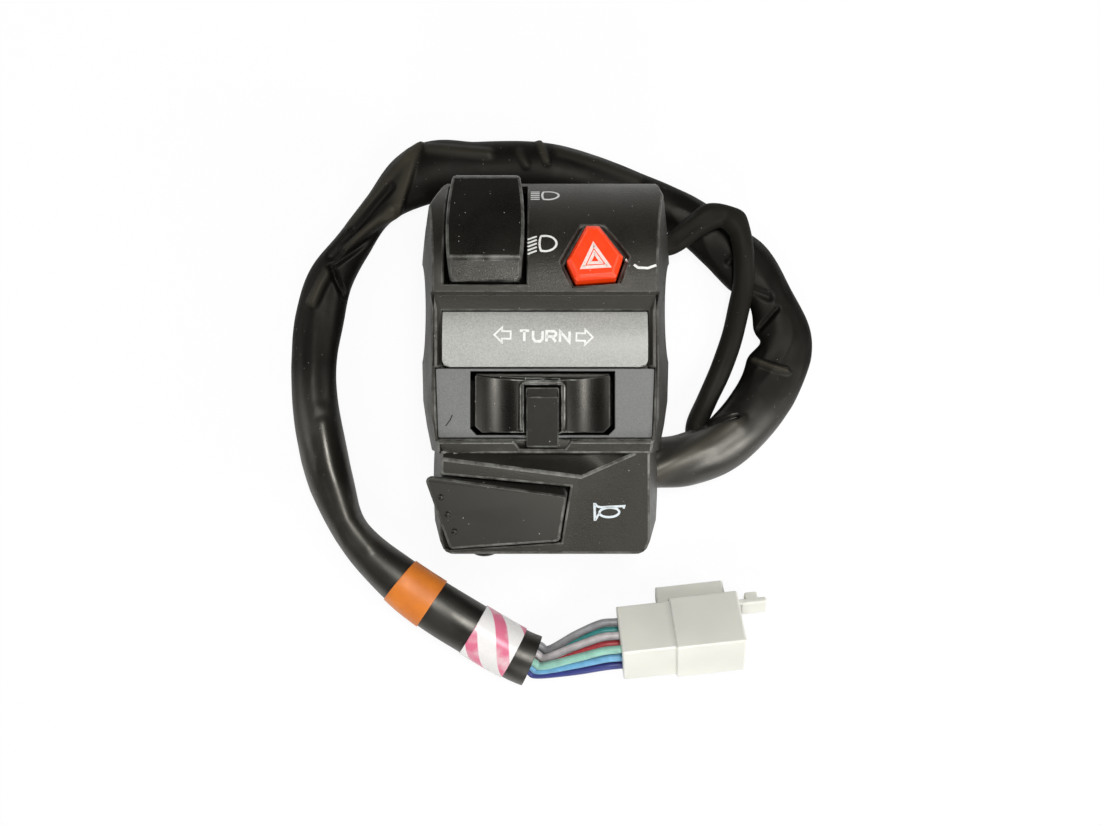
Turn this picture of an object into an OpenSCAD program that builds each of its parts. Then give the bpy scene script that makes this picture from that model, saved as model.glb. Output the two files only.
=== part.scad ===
// Left handlebar switch cluster: dimmer rocker, hazard button, turn rocker with push-to-cancel
// knob and horn paddle in a two-piece housing that clamps the bar, with its sleeved harness.
// The bar runs along X through the origin, +Y is the dimmer end and +Z points out of the face.

/* [Handlebar] */
// Diameter of the handlebar bore
bar_d = 22.2; // [21:0.1:23]

/* [Housing] */
// Height of the housing above the bar axis
top_h = 27.4; // [27:0.1:29]
// Height of the housing below the bar axis
bottom_h = 52.4; // [52:0.1:54]
// Distance from the bar axis to the face
face_z = 25; // [24.5:0.1:27]
// Distance from the bar axis to the flat back
back_z = 18.5; // [17.5:0.1:20]
// Width of the housing at the parting plane
base_w = 54.6; // [52:0.2:57]
// Width of the housing at its face
face_w = 45.2; // [44.6:0.2:47]
// Width of the lower block at the parting plane
lower_base_w = 49; // [47:0.2:51]
// Width of the lower block at its face
lower_face_w = 41.6; // [40.4:0.2:44]
// Thickness of the moulded walls
wall = 2.2; // [1.8:0.1:2.6]
// Radius of the rounded crown that carries the dimmer
crown_r = 23.7; // [23.4:0.1:24.5]
// Gap between the two halves at the parting plane
parting_gap = 0.2; // [0.1:0.05:0.5]

/* [Inserts] */
// Width of the legend panel
panel_w = 41.4; // [38:0.2:42]
// Width of the bezel round the turn window
bezel_w = 44; // [42:0.2:44.4]
// Thickness of the bezel plate
bezel_t = 2.4; // [1.6:0.1:2.8]
// Height that the legend panel stands above the bezel
panel_rise = 1.1; // [0.5:0.1:1.6]

/* [Dimmer] */
// Width of the dimmer rocker
dimmer_w = 15.8; // [14:0.1:16]
// Swing of the dimmer from dipped to main beam, in degrees
dimmer_swing = 18; // [10:1:18]

/* [Hazard] */
// Width of the hazard button
hazard_w = 11.3; // [10:0.1:11.6]
// Height that the hazard button stands above the face
hazard_proud = 2; // [1:0.1:2.6]
// Travel of the hazard button
hazard_travel = 2.2; // [1.5:0.1:2.4]

/* [Turn switch] */
// Width of the turn window
turn_window_w = 29.2; // [28:0.1:31]
// Height of the turn window
turn_window_h = 12.9; // [12.6:0.1:13]
// Swing of the turn rocker to each side, in degrees
turn_swing = 9; // [5:1:9]
// Travel of the cancel knob
cancel_travel = 1.6; // [1:0.1:1.8]

/* [Horn] */
// Thickness of the horn paddle's plate
horn_plate = 2.6; // [2:0.1:3]
// Swing of the horn paddle, in degrees
horn_swing = 6; // [4:1:7]
// Diameter of the raised dots on the horn paddle
horn_dot_d = 1.3; // [0.8:0.1:2]

/* [Fasteners and springs] */
// Diameter of the housing screws
screw_d = 4; // [3.5:0.1:4.5]
// Diameter of the carrier screws
small_screw_d = 2.2; // [1.8:0.1:2.4]
// Wire diameter of the coil springs
spring_wire = 0.6; // [0.4:0.1:0.8]
// Diameter of the pivot pins
pin_d = 2; // [1.6:0.1:2.2]

/* [Fits] */
// Gap round moving caps in their windows
run_gap = 0.4; // [0.3:0.05:0.6]
// Gap round fixed pieces in their seats
fit_gap = 0.15; // [0.05:0.05:0.3]
// Radial clearance of pins and stems
pin_gap = 0.05; // [0.03:0.01:0.1]

/* [Harness] */
// Outside diameter of the main sleeve
sleeve_d = 11.5; // [10:0.5:12]
// Outside diameter of the branch sleeve
branch_d = 4.6; // [4:0.2:5]
// Diameter of each wire
wire_d = 1.8; // [1.4:0.1:2]
// Side of the connector's shroud
shroud_w = 13.2; // [12:0.1:14]
// Length of the connector from wire end to mouth
connector_l = 27.5; // [26:0.5:30]

/* [Hidden] */
$fn = 64;
EPS = 0.01;
BIG = 120;

// Housing layout
bar_r = bar_d / 2;
tube_r = bar_r + wall;
crown_y = 4.6;
crown_cz = face_z - crown_r;
step_y = 2.5;
belly_y = 3;
plan_r = 82;
left_plan_r = 50;
ridge_y = -29.6;
block_y = ridge_y - 6.8;
waist_y = ridge_y + 5.4;
waist_in = 1.3;
ridge_in = 2.4;
waist_draft = 8.3;
lower_r = 48;
corner_r = 2.6;
bottom_face = bottom_h - 2.8;
lower_z = face_z + 0.3;
insert_floor = face_z - 4.2;
bezel_z = insert_floor + bezel_t;
panel_z = bezel_z + panel_rise;
rim_z = bezel_z + 0.6;
cove_y = -0.9;
ridge_z = face_z - 0.4;
panel_bottom_y = -12.4;
bezel_bottom_y = -26.5;

// Turn switch layout
turn_x = -0.5;
turn_y = -19.5;
turn_pivot_z = bezel_z - 4.7;
turn_base_z = turn_pivot_z - 9.5;
base_t = 1.6;
wing_depth = turn_window_h - 2 * run_gap;
knob_half = 3.2;
knob_reach = 8.8;
knob_top = bezel_z + 4.2;
corner_cut = 1.3;

// Dimmer layout: a frame at the pivot, tilted with the rocker's face
dimmer_x = -12;
dimmer_pivot = [dimmer_x, 16.2, 15.6];
dimmer_tilt = 22;
dimmer_face = 8.3;
dimmer_bow_r = 70;
dimmer_seat = -6.6;
dimmer_screw_y = [-5.6, 5.6];
dimmer_screw_l = 3.6;

// Hazard layout: a frame on the crown, tilted with its surface
hazard_tilt = 14;
hazard_at = [9.9, crown_y + crown_r * sin(hazard_tilt), crown_cz + crown_r * cos(hazard_tilt)];
hazard_seat = -12.2;
hazard_body_top = -7.6;
hazard_skirt = 3.6;
hazard_stem_r = 1.6;

// Horn layout: its middle keeps its distance from the lower end of the housing
horn_y = 10.4 - bottom_h;
horn_pivot_x = 0;
horn_pivot_z = lower_z - 5;
horn_base_z = horn_pivot_z - 8.2;
horn_outline = [[-24, horn_y + 8.1], [4.6, horn_y + 5.4], [2.9, horn_y - 4.9], [-18.8, horn_y - 6.4]];
horn_dots = [[-20.5, 3.9], [-19.2, 0.5], [-17.9, -2.9]];
horn_spring_at = [-11, horn_y + 0.5];
horn_ledge = lower_z - 2.9;
knuckle_r = 2.2;
knuckle_t = 1.5;

// Fasteners
top_screw = [2.2, 20.4];
bottom_screw = [-13.4, 6 - bottom_h];
boss_r = screw_d / 2 + 1.6;
top_boss_h = 10;
bottom_boss_h = 9;
small_boss_r = small_screw_d / 2 + 1.3;
turn_posts = [[-18.9, turn_y], [17.9, turn_y]];
horn_posts = [[10.5, horn_y + 4.5], [10.5, horn_y - 4]];
small_screw_l = 6;

// Harness exits in the rear half's right wall
exit_y = -32.7;
exit_z = -8.6;
branch_y = 15.8;
branch_z = -5.6;

// Main sleeve: x, y, z of its centre, then half width and half thickness, from the housing on
sleeve_route = [
    [19.5, -32.7, -8.6, 5.7, 5.7], [25.5, -32.7, -8.7, 5.7, 5.7], [32, -32, -10, 6, 5.7],
    [40, -28.8, -12, 6.2, 5.6], [47.5, -21.6, -13.6, 6.5, 4.8], [53, -12.5, -15.1, 6.6, 3.3],
    [55, -4, -15.2, 6.2, 3.2], [51.8, 4.6, -15.2, 5.3, 3.2], [46.6, 11.8, -15.2, 6.4, 3.2],
    [40, 17.6, -15.2, 5.8, 3.2], [32.2, 23.6, -15.2, 5.2, 3.2], [22, 28.6, -15.2, 4.8, 3.2],
    [10, 32.4, -14.6, 5.6, 3.8], [-2, 34.6, -14, 6.2, 4.4], [-16, 34.4, -14, 6.4, 4.4],
    [-27, 33.4, -14, 6.9, 4.4], [-37.8, 25.7, -14.4, 3.9, 4], [-44.6, 17, -15, 4.2, 3.4],
    [-49.8, 9, -15.1, 5.2, 3.3], [-52.2, 0, -15.1, 5.6, 3.3], [-53.4, -9, -15.1, 5.2, 3.3],
    [-53.2, -18, -14.6, 5.2, 3.8], [-51.8, -27, -14, 5.4, 4.4], [-49.6, -36.4, -13.8, 5.2, 4.6],
    [-46.4, -45, -13.8, 4.4, 4.6], [-41.6, -52.4, -13.6, 4.4, 4.8], [-33.3, -59.8, -12.7, 5.4, 5.2],
    [-26, -65.2, -12.5, 5.9, 5.4], [-16.6, -71, -12.4, 6, 5.5], [-7.3, -76.4, -12.4, 6, 5.5],
    [-3.2, -78.2, -12.4, 6, 5.5]
];
// Branch sleeve, from the main sleeve's slit over the sleeve to the housing
branch_route = [
    [34.4, -29, -11, 2.3, 2.2], [34.6, -24.4, -13, 2.4, 2.2], [37.2, -18.6, -15.2, 2.4, 2.2],
    [40.4, -11.8, -16.2, 2.5, 2.1], [43, -4.4, -16, 2.5, 2.1], [44.4, 2.4, -13.9, 2.5, 2.1],
    [45, 7.4, -11.4, 2.4, 2.1], [45, 11.5, -9.8, 2.4, 2.1], [44.6, 16, -8.8, 2.4, 2.1],
    [43.2, 20.4, -8.7, 2.5, 2.1], [39.6, 23, -8.6, 2.6, 2.1], [34.4, 21, -8.2, 2.7, 2.1],
    [29.2, 17, -6.8, 2.5, 2.2], [26.4, 15.8, -5.6, 2.3, 2.3], [22, 15.8, -5.6, 2.3, 2.3]
];
orange_span = [26, 27];
marker_span = [28, 29];

// Connector frame: centre of its wire end, its turn in plan and its roll
connector_at = [16.8, -73.6, -9];
connector_turn = 6.2;
connector_roll = -40;
rear_w = shroud_w - 1;
shroud_l = 15.5;
mouth_depth = 12;
mouth_w = shroud_w - 2.2;
pin_pitch = 3.5;
WIRE_COUNT = 9;

// Helpers
function arc_points(c, r, a0, a1, n) = [for (i = [0:n]) let (a = a0 + (a1 - a0) * i / n) c + r * [cos(a), sin(a)]];
function half_width(z, base, face) = (base - (base - face) * z / face_z) / 2;
function unit(v) = v / norm(v);
function spline(p, q, r, s, t) =
    0.5 * (2 * q + (r - p) * t + (2 * p - 5 * q + 4 * r - s) * t * t + (3 * q - p - 3 * r + s) * t * t * t);
function route_at(route, u) =
    let (i = min(floor(u), len(route) - 2), last = len(route) - 1)
    spline(route[max(i - 1, 0)], route[i], route[i + 1], route[min(i + 2, last)], u - i);
function place(v) = [v[0], v[1], v[2]];
function way(rings, i) = unit(place(rings[min(i + 1, len(rings) - 1)]) - place(rings[max(i - 1, 0)]));
function helix(r, pitch, turns, steps) =
    [for (i = [0:turns * steps]) [r * cos(360 * i / steps), r * sin(360 * i / steps), pitch * i / steps]];

module extrude_x(w) rotate([90, 0, 90]) linear_extrude(w, center = true) children();
module extrude_y(l) rotate([90, 0, 0]) linear_extrude(l, center = true) children();

// A rectangle with round corners, centred
module round_rect(w, h, r) {
    square([w - 2 * r, h], center = true);
    square([w, h - 2 * r], center = true);
    for (x = [-1, 1], y = [-1, 1]) translate([x * (w / 2 - r), y * (h / 2 - r)]) circle(r);
}

// A closed tube of oval rings, each ring x, y, z, half width and half thickness
module oval_tube(rings, sides) {
    n = len(rings);
    points = [
        for (i = [0:n - 1]) let (t = way(rings, i), side = unit(cross([0, 0, 1], t)), up = cross(t, side))
            for (k = [0:sides - 1]) let (a = 360 * (k + 0.5) / sides)
                place(rings[i]) + side * rings[i][3] * cos(a) + up * rings[i][4] * sin(a)
    ];
    walls = [
        for (i = [0:n - 2], k = [0:sides - 1])
            let (a = i * sides + k, b = i * sides + (k + 1) % sides) each [[a, b, a + sides], [b, b + sides, a + sides]]
    ];
    first = [for (k = [1:sides - 2]) [0, k + 1, k]];
    base = (n - 1) * sides;
    last = [for (k = [1:sides - 2]) [base, base + k, base + k + 1]];
    polyhedron(points, [for (f = concat(walls, first, last)) [f[0], f[2], f[1]]]);
}

// A round wire along a helix that rises from z = 0
module coil(r, length, turns) {
    steps = 10;
    sides = 6;
    wire_r = spring_wire / 2;
    line = helix(r, (length - spring_wire) / turns, turns, steps);
    n = len(line);
    points = [
        for (i = [0:n - 1])
            let (a = 360 * i / steps, out = [cos(a), sin(a), 0])
            for (k = [0:sides - 1]) let (b = 360 * k / sides)
                line[i] + [0, 0, wire_r] + out * wire_r * cos(b) + [0, 0, wire_r * sin(b)]
    ];
    walls = [
        for (i = [0:n - 2], k = [0:sides - 1])
            let (a = i * sides + k, b = i * sides + (k + 1) % sides) each [[a, a + sides, b], [b, a + sides, b + sides]]
    ];
    first = [for (k = [1:sides - 2]) [0, k, k + 1]];
    base = (n - 1) * sides;
    last = [for (k = [1:sides - 2]) [base, base + k + 1, base + k]];
    polyhedron(points, [for (f = concat(walls, first, last)) [f[0], f[2], f[1]]]);
}

// Frames of the two tilted switches
module at_dimmer() translate(dimmer_pivot) rotate([-dimmer_tilt, 0, 0]) children();
module at_hazard() translate(hazard_at) rotate([-hazard_tilt, 0, 0]) children();

// Housing outlines, drawn in by inset for the hollow
module crown_profile(inset) {
    difference() {
        translate([step_y + inset, -EPS]) square([top_h - step_y - 2 * inset, face_z - inset + EPS]);
        difference() {
            translate([crown_y, crown_cz]) square(BIG);
            translate([crown_y, crown_cz]) circle(crown_r - inset, $fn = 180);
        }
    }
}

module mid_profile() {
    polygon([
        [step_y + 1, 0], [step_y + 1, rim_z], [step_y, face_z], [cove_y, rim_z], [bezel_bottom_y - 0.4, rim_z],
        [bezel_bottom_y - 0.5, ridge_z], [bezel_bottom_y - 1.1, ridge_z], [ridge_y, ridge_z - 0.8], [ridge_y, 0]
    ]);
}

// What lies inside both of two mirrored outlines
module for_both_sides(x, y) {
    intersection() {
        translate([x, y]) children();
        translate([-x, y]) children();
    }
}

// Plan of the lower block, drawn in towards its round lower corners
module lower_plan(inset) {
    half = lower_base_w / 2;
    reach = bottom_h + block_y + 8.4;
    intersection() {
        for_both_sides(half - lower_r, block_y) circle(lower_r - inset, $fn = 360);
        translate([0, reach - bottom_h]) circle(norm([half - 2.2, reach]) - 1.5 - inset, $fn = 180);
    }
}

module plan_outline(inset) {
    half = base_w / 2 - inset;
    polygon([
        [-half, belly_y], [half, belly_y], [half - waist_in, waist_y], [half - ridge_in, ridge_y + inset],
        [ridge_in - half, ridge_y + inset], [waist_in - half, waist_y]
    ]);
    intersection() {
        translate([base_w / 2 - plan_r, belly_y]) circle(plan_r - inset, $fn = 360);
        translate([left_plan_r - base_w / 2, belly_y]) circle(left_plan_r - inset, $fn = 360);
        translate([-BIG / 2, belly_y - EPS]) square([BIG, top_h - inset - belly_y + EPS]);
    }
}

// Drafted side walls of the front half, as a long prism along Y
module side_draft(base, face, inset) {
    low = half_width(-2, base, face) - inset;
    high = half_width(32, base, face) - inset;
    extrude_y(2 * BIG) polygon([[-low, -2], [low, -2], [high, 32], [-high, 32]]);
}

// The V-shaped crest between the ridge and the lower block, and the facet that falls to the right
crest = [7.3, ridge_y - 4.6];
crest_left = 7.3;
crest_right = 14.9;
crest_slope = 48;
facet_turn = -7.6;
facet_slope = 10.5;

module above_plane(turn, tip) {
    translate([crest[0], crest[1], lower_z]) rotate([0, 0, turn]) rotate(tip)
        translate([-BIG / 2, -BIG / 2, 0]) cube(BIG);
}

module lower_block() {
    difference() {
        intersection() {
            extrude_x(BIG) polygon([
                [ridge_y + 0.2, 0], [ridge_y + 0.2, lower_z], [-bottom_face, lower_z], [-bottom_h, 0]
            ]);
            side_draft(lower_base_w, lower_face_w, 0);
            linear_extrude(BIG) lower_plan(0);
        }
        intersection() {
            above_plane(-crest_left, [-crest_slope, 0, 0]);
            above_plane(crest_right, [-crest_slope, 0, 0]);
        }
        above_plane(facet_turn, [0, facet_slope, 0]);
        corner_cuts();
    }
}

// Blunt lower corners, which lean in with the drafted walls
module corner_cuts() {
    for (s = [0, 1], cut = [[-22.5, 4.3], [-45, 5.9], [-67.5, 6.6]]) mirror([s, 0, 0])
        translate([lower_base_w / 2 - 2.7 - corner_r, corner_r - bottom_h, 0]) rotate([0, 0, cut[0]])
            translate([corner_r, 0, 0]) rotate([0, -cut[1], 0]) translate([0, -BIG / 2, -BIG / 2]) cube(BIG);
}

// What the drafted shoulders above the ridge leave off
module waist_cuts() {
    for (s = [0, 1]) mirror([s, 0, 0]) translate([base_w / 2 - waist_in, waist_y, 0])
        rotate([0, 0, -atan((ridge_in - waist_in) / (waist_y - ridge_y))]) rotate([0, -waist_draft, 0])
            translate([0, -BIG / 2, -BIG / 2]) cube(BIG);
}

module front_outer() {
    difference() {
        intersection() {
            union() {
                extrude_x(BIG) crown_profile(0);
                extrude_x(BIG) mid_profile();
            }
            linear_extrude(BIG) plan_outline(0);
            side_draft(base_w, face_w, 0);
        }
        waist_cuts();
    }
    lower_block();
}

// The hollow of the front half, less the bar tube, the screw columns and the seats of the carriers
module front_hollow() {
    lid = insert_floor - wall;
    difference() {
        union() {
            intersection() {
                extrude_x(BIG) union() {
                    crown_profile(wall);
                    translate([ridge_y - EPS, -EPS]) square([step_y + wall - ridge_y + 1, lid]);
                }
                translate([0, 0, -1]) linear_extrude(BIG) plan_outline(wall);
                side_draft(base_w, face_w, wall);
            }
            intersection() {
                extrude_x(BIG) polygon([
                    [ridge_y + wall + 1, -EPS], [ridge_y + wall + 1, lid - 2], [block_y, lid - 2], [block_y, lid + 1],
                    [wall - bottom_face - 0.4, lid + 1], [wall - bottom_h, -EPS]
                ]);
                side_draft(lower_base_w, lower_face_w, wall);
                translate([0, 0, -1]) linear_extrude(BIG) lower_plan(wall);
            }
        }
        rotate([0, 90, 0]) cylinder(r = tube_r, h = BIG, center = true);
        translate(top_screw) cylinder(r = boss_r, h = BIG);
        translate(bottom_screw) cylinder(r = boss_r, h = bottom_boss_h);
        for (p = turn_posts) translate([p[0], p[1], turn_base_z + base_t]) cylinder(r = small_boss_r, h = BIG);
        for (p = horn_posts) translate([p[0], p[1], horn_base_z + base_t]) cylinder(r = small_boss_r, h = BIG);
        at_dimmer() translate([-4.5, -9, -18]) cube([9, 18, 18 + dimmer_seat]);
        at_hazard() translate([-3.6, -3.4, -20]) cube([7.2, 7.4, 20 + hazard_seat]);
    }
}

// The dimmer's window, down to the seat of its carrier
module dimmer_window() {
    at_dimmer() extrude_x(dimmer_w + 2 * run_gap) polygon([
        [-14.4, 0.6], [-10.5, 0.6], [-9.4, dimmer_seat], [9.4, dimmer_seat], [11.1, -3], [11.1, 20], [-14.4, 20]
    ]);
}

// The hazard button's outline, a cut-off triangle
hazard_points = [[-1.6, 5.6], [0.9, 5.6], [5.7, -1], [4.2, -5.4], [-3.8, -6], [-5.6, -1.9]];
module hazard_outline(grow) {
    scale((hazard_w / 2 + grow) / 5.65) polygon(hazard_points);
}

module hazard_window() {
    at_hazard() {
        translate([0, 0, -hazard_skirt - hazard_travel - run_gap]) linear_extrude(20) hazard_outline(run_gap);
        translate([0, 0.75, -0.9]) linear_extrude(20) hazard_outline(1.2);
    }
}

// The bezel's outline, which follows the shoulders of the housing
module bezel_outline(grow) {
    half = bezel_w / 2 + grow;
    polygon([
        [-half, panel_bottom_y - fit_gap + grow], [half, panel_bottom_y - fit_gap + grow],
        [half - 0.5, bezel_bottom_y - grow], [0.5 - half, bezel_bottom_y - grow]
    ]);
}

// The recess of the two inserts, with a mitred cove round the legend panel
module insert_recess() {
    half = panel_w / 2 + fit_gap;
    length = cove_y - panel_bottom_y;
    translate([0, 0, insert_floor]) linear_extrude(20) bezel_outline(fit_gap);
    translate([-half, panel_bottom_y, insert_floor]) cube([2 * half, length, 20]);
    hull() {
        translate([-half, panel_bottom_y, rim_z - 1.4]) cube([2 * half, length, EPS]);
        translate([-half - 1.6, panel_bottom_y, face_z]) cube([2 * half + 3.2, step_y - panel_bottom_y - 0.1, EPS]);
    }
}

// The turn window's outline, with cut corners below, drawn in at its sides and its ends
module window_outline(side, end) {
    w = turn_window_w / 2 - side;
    h = turn_window_h / 2 - end;
    polygon([[-w, h], [w, h], [w, corner_cut - h], [w - corner_cut, -h], [corner_cut - w, -h], [-w, corner_cut - h]]);
}

// The notch in the ridge under the knob's overhang, narrower below
module knob_notch() {
    wide = knob_half + 2.4;
    narrow = knob_half + 1.3;
    polygon([
        [-wide, -5], [wide, -5], [wide, bezel_bottom_y - turn_y - 0.6], [narrow, -knob_reach - 0.3],
        [-narrow, -knob_reach - 0.3], [-wide, bezel_bottom_y - turn_y - 0.6]
    ]);
}

// The pocket under the horn paddle, open to the left, and the hole for its skirt
module horn_pocket() {
    translate([0, 0, horn_ledge]) linear_extrude(20) for (x = [0, -3]) translate([x, 0]) offset(delta = run_gap)
        polygon(horn_outline);
    translate([-19.2, horn_y - 4.6, horn_base_z]) cube([19.2 + horn_pivot_x + knuckle_r + run_gap, 9.4, 30]);
}

module bar_bore() rotate([0, 90, 0]) cylinder(r = bar_r, h = BIG, center = true, $fn = 128);

module screw_hole(depth) cylinder(d = small_screw_d + 2 * pin_gap, h = depth);

module front_housing() {
    color([0.17, 0.165, 0.15]) difference() {
        front_outer();
        front_hollow();
        bar_bore();
        translate([-BIG / 2, -BIG / 2, -BIG]) cube([BIG, BIG, BIG + parting_gap / 2]);
        dimmer_window();
        hazard_window();
        insert_recess();
        translate([turn_x - turn_window_w / 2 - 1, turn_y - turn_window_h / 2, 0])
            translate([0, 0, turn_base_z + base_t]) cube([turn_window_w + 2, turn_window_h, 30]);
        translate([turn_x, turn_y, bezel_z - 0.2]) linear_extrude(20) knob_notch();
        horn_pocket();
        translate([top_screw[0], top_screw[1], -1]) cylinder(d = screw_d + 2 * pin_gap, h = top_boss_h + 1.5);
        translate([bottom_screw[0], bottom_screw[1], -1])
            cylinder(d = screw_d + 2 * pin_gap, h = bottom_boss_h - 1 + 1);
        for (p = turn_posts) translate([p[0], p[1], turn_base_z]) screw_hole(small_screw_l + 0.5);
        for (p = horn_posts) translate([p[0], p[1], horn_base_z]) screw_hole(small_screw_l + 0.5);
        at_dimmer() for (y = dimmer_screw_y) translate([0, y, dimmer_seat + base_t - dimmer_screw_l - 0.3])
            screw_hole(dimmer_screw_l);
    }
}

// Rear half: rounded behind the bar at the top, flat on its back below
module rear_profile(inset) {
    upper = [for (i = [0:12]) let (a = 90 * i / 12)
        [6 + (top_h - 6 - inset) * cos(a), -2 - (back_z - 2 - inset) * sin(a)]];
    lower = arc_points([-41, 9 - back_z], 9 - inset, 270, 180, 8);
    polygon(concat([[top_h - inset, EPS]], upper, lower, [[inset - bottom_h, EPS]]));
}

module rear_draft(base, inset) {
    half = base / 2 - inset;
    foot = half - 2.6;
    extrude_y(2 * BIG) polygon([
        [-half, EPS], [half, EPS], [foot + 0.5, 3.5 - back_z], [foot - 2.4, -back_z - 1],
        [2.4 - foot, -back_z - 1], [-foot - 0.5, 3.5 - back_z]
    ]);
}

module rear_shape(inset) {
    intersection() {
        extrude_x(BIG) rear_profile(inset);
        translate([0, 0, -BIG]) linear_extrude(BIG + 1) plan_outline(inset);
        rear_draft(base_w, inset);
    }
    intersection() {
        extrude_x(BIG) rear_profile(inset);
        translate([-BIG / 2, -BIG, -BIG]) cube([BIG, BIG + ridge_y + 1 + inset, BIG + 1]);
        rear_draft(lower_base_w, inset);
        translate([0, 0, -BIG]) linear_extrude(BIG + 1) lower_plan(inset);
    }
}

// Where the heads of the housing screws sit
head_z = -9;
head_r = screw_d * 0.9;
head_h = 2.4;

module rear_housing() {
    color([0.16, 0.155, 0.14]) difference() {
        union() {
            rear_shape(0);
            translate([bottom_screw[0], bottom_screw[1] - 1.6, -14]) cylinder(r = boss_r + 1.4, h = 14);
        }
        difference() {
            rear_shape(wall);
            rotate([0, 90, 0]) cylinder(r = tube_r, h = BIG, center = true);
            for (p = [top_screw, bottom_screw]) translate([p[0], p[1], -BIG])
                cylinder(r = head_r + wall, h = BIG + 1);
        }
        bar_bore();
        translate([-BIG / 2, -BIG / 2, -parting_gap / 2]) cube(BIG);
        for (p = [top_screw, bottom_screw]) translate([p[0], p[1], 0]) {
            translate([0, 0, -BIG]) cylinder(d = screw_d + 0.4, h = BIG + 1);
            translate([0, 0, head_z - BIG]) cylinder(r = head_r + 0.3, h = BIG);
        }
        translate([lower_base_w / 2 - 9, exit_y, exit_z]) rotate([0, 90, 0]) cylinder(d = sleeve_d + 0.8, h = 20);
        translate([base_w / 2 - 9.4, branch_y, branch_z]) rotate([0, 90, 0]) cylinder(d = branch_d + 0.8, h = 20);
    }
}

module legend_panel() {
    color([0.59, 0.59, 0.57]) intersection() {
        extrude_x(BIG) polygon([
            [cove_y - fit_gap, insert_floor], [cove_y - fit_gap, panel_z - 1.7], [cove_y - 1.2, panel_z - 1.1],
            [cove_y - 3.2, panel_z - 0.45], [cove_y - 6, panel_z - 0.05], [cove_y - 8.6, panel_z],
            [panel_bottom_y + fit_gap, panel_z - 0.15], [panel_bottom_y + fit_gap, insert_floor]
        ]);
        translate([0, panel_bottom_y + fit_gap + 10, 0]) linear_extrude(BIG) round_rect(panel_w, 20, 1.6);
    }
}

module turn_bezel() {
    color([0.34, 0.34, 0.33]) translate([0, 0, insert_floor]) linear_extrude(bezel_t) difference() {
        bezel_outline(0);
        translate([turn_x, turn_y]) window_outline(0, 0);
    }
}

module pan_screw(shank, shank_l, head_radius, head_height) {
    cylinder(d = shank, h = shank_l);
    difference() {
        translate([0, 0, -head_height]) cylinder(r = head_radius, h = head_height);
        for (a = [0, 90]) rotate([0, 0, a]) translate([-head_radius * 0.6, -0.3, -head_height - EPS])
            cube([head_radius * 1.2, 0.6, head_height * 0.5]);
    }
}

module housing_screws() {
    color([0.75, 0.75, 0.72]) for (p = [top_screw, bottom_screw])
        translate([p[0], p[1], head_z]) pan_screw(screw_d, bottom_boss_h - 1.5 - head_z, head_r, head_h);
}

module carrier_screw(length) pan_screw(small_screw_d, length, small_screw_d * 0.9, 1.2);
module carrier_screws() {
    color([0.72, 0.72, 0.7]) {
        for (p = turn_posts) translate([p[0], p[1], turn_base_z]) carrier_screw(small_screw_l);
        for (p = horn_posts) translate([p[0], p[1], horn_base_z]) carrier_screw(small_screw_l);
        at_dimmer() for (y = dimmer_screw_y) translate([0, y, dimmer_seat + base_t]) mirror([0, 0, 1])
            carrier_screw(dimmer_screw_l);
    }
}

// Dimmer, in its tilted frame
module dimmer_rocker() {
    half = dimmer_w / 2;
    face = arc_points([-1.4, dimmer_face - 68.8], 69.4, 97.8, 82.2, 10);
    color([0.1, 0.095, 0.08]) at_dimmer() difference() {
        union() {
            difference() {
                intersection() {
                    extrude_x(dimmer_w) polygon(concat(
                        [[-13.2, 1.2], [-14, 4.2]], face,
                        [[9.2, 6.9], [9.2, -1], [7.6, -1], [7.6, 2], [4, 1], [2.6, -2.4], [-2.6, -2.4], [-4, 1]]
                    ));
                    translate([0, 0, -5]) linear_extrude(20) intersection() {
                        translate([0, -2.4]) round_rect(dimmer_w, 23.2, 2.2);
                        for_both_sides(half - dimmer_bow_r, -3.4) circle(dimmer_bow_r, $fn = 240);
                    }
                }
                extrude_x(dimmer_w - 3.2) polygon([[-8.6, -5], [-8.6, 5.6], [-7, 6.4], [6.4, 6.4], [7.6, 5.4], [7.6, -5]]);
            }
            translate([0, 0, -1]) cylinder(r = 2.6, h = 8);
        }
        translate([0, 0, -2]) cylinder(r = 1.75, h = 7);
        rotate([0, 90, 0]) cylinder(d = pin_d + 2 * pin_gap, h = dimmer_w + 1, center = true);
    }
}

module dimmer_pin() {
    length = dimmer_w / 2 - 3.8;
    color([0.75, 0.75, 0.75]) at_dimmer() for (s = [-1, 1])
        translate([s * (3.7 + length / 2), 0, 0]) rotate([0, 90, 0]) cylinder(d = pin_d, h = length, center = true);
}

module dimmer_plunger() {
    color([0.8, 0.65, 0.3]) at_dimmer() {
        translate([0, 0, -2.5]) cylinder(r = 1.6, h = 3.5);
        translate([0, 0, -2.5]) sphere(1.6);
    }
}

module dimmer_spring() {
    color([0.7, 0.7, 0.7]) at_dimmer() translate([0, 0, 1.05]) coil(1.1, 3.85, 2.5);
}

module dimmer_carrier() {
    color([0.2, 0.2, 0.2]) at_dimmer() difference() {
        union() {
            translate([-7, -8.6, dimmer_seat]) cube([14, 17.2, base_t]);
            for (s = [-1, 1]) translate([s * 4.8, 0, 0]) {
                extrude_x(1.6) translate([-2.2, dimmer_seat + 1]) square([4.4, -1 - dimmer_seat]);
                rotate([0, 90, 0]) cylinder(r = 2.2, h = 1.6, center = true);
            }
        }
        rotate([0, 90, 0]) cylinder(d = pin_d + 2 * pin_gap, h = 20, center = true);
        for (y = dimmer_screw_y) translate([0, y, -10]) cylinder(d = small_screw_d + 0.2, h = 20);
    }
}

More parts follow.
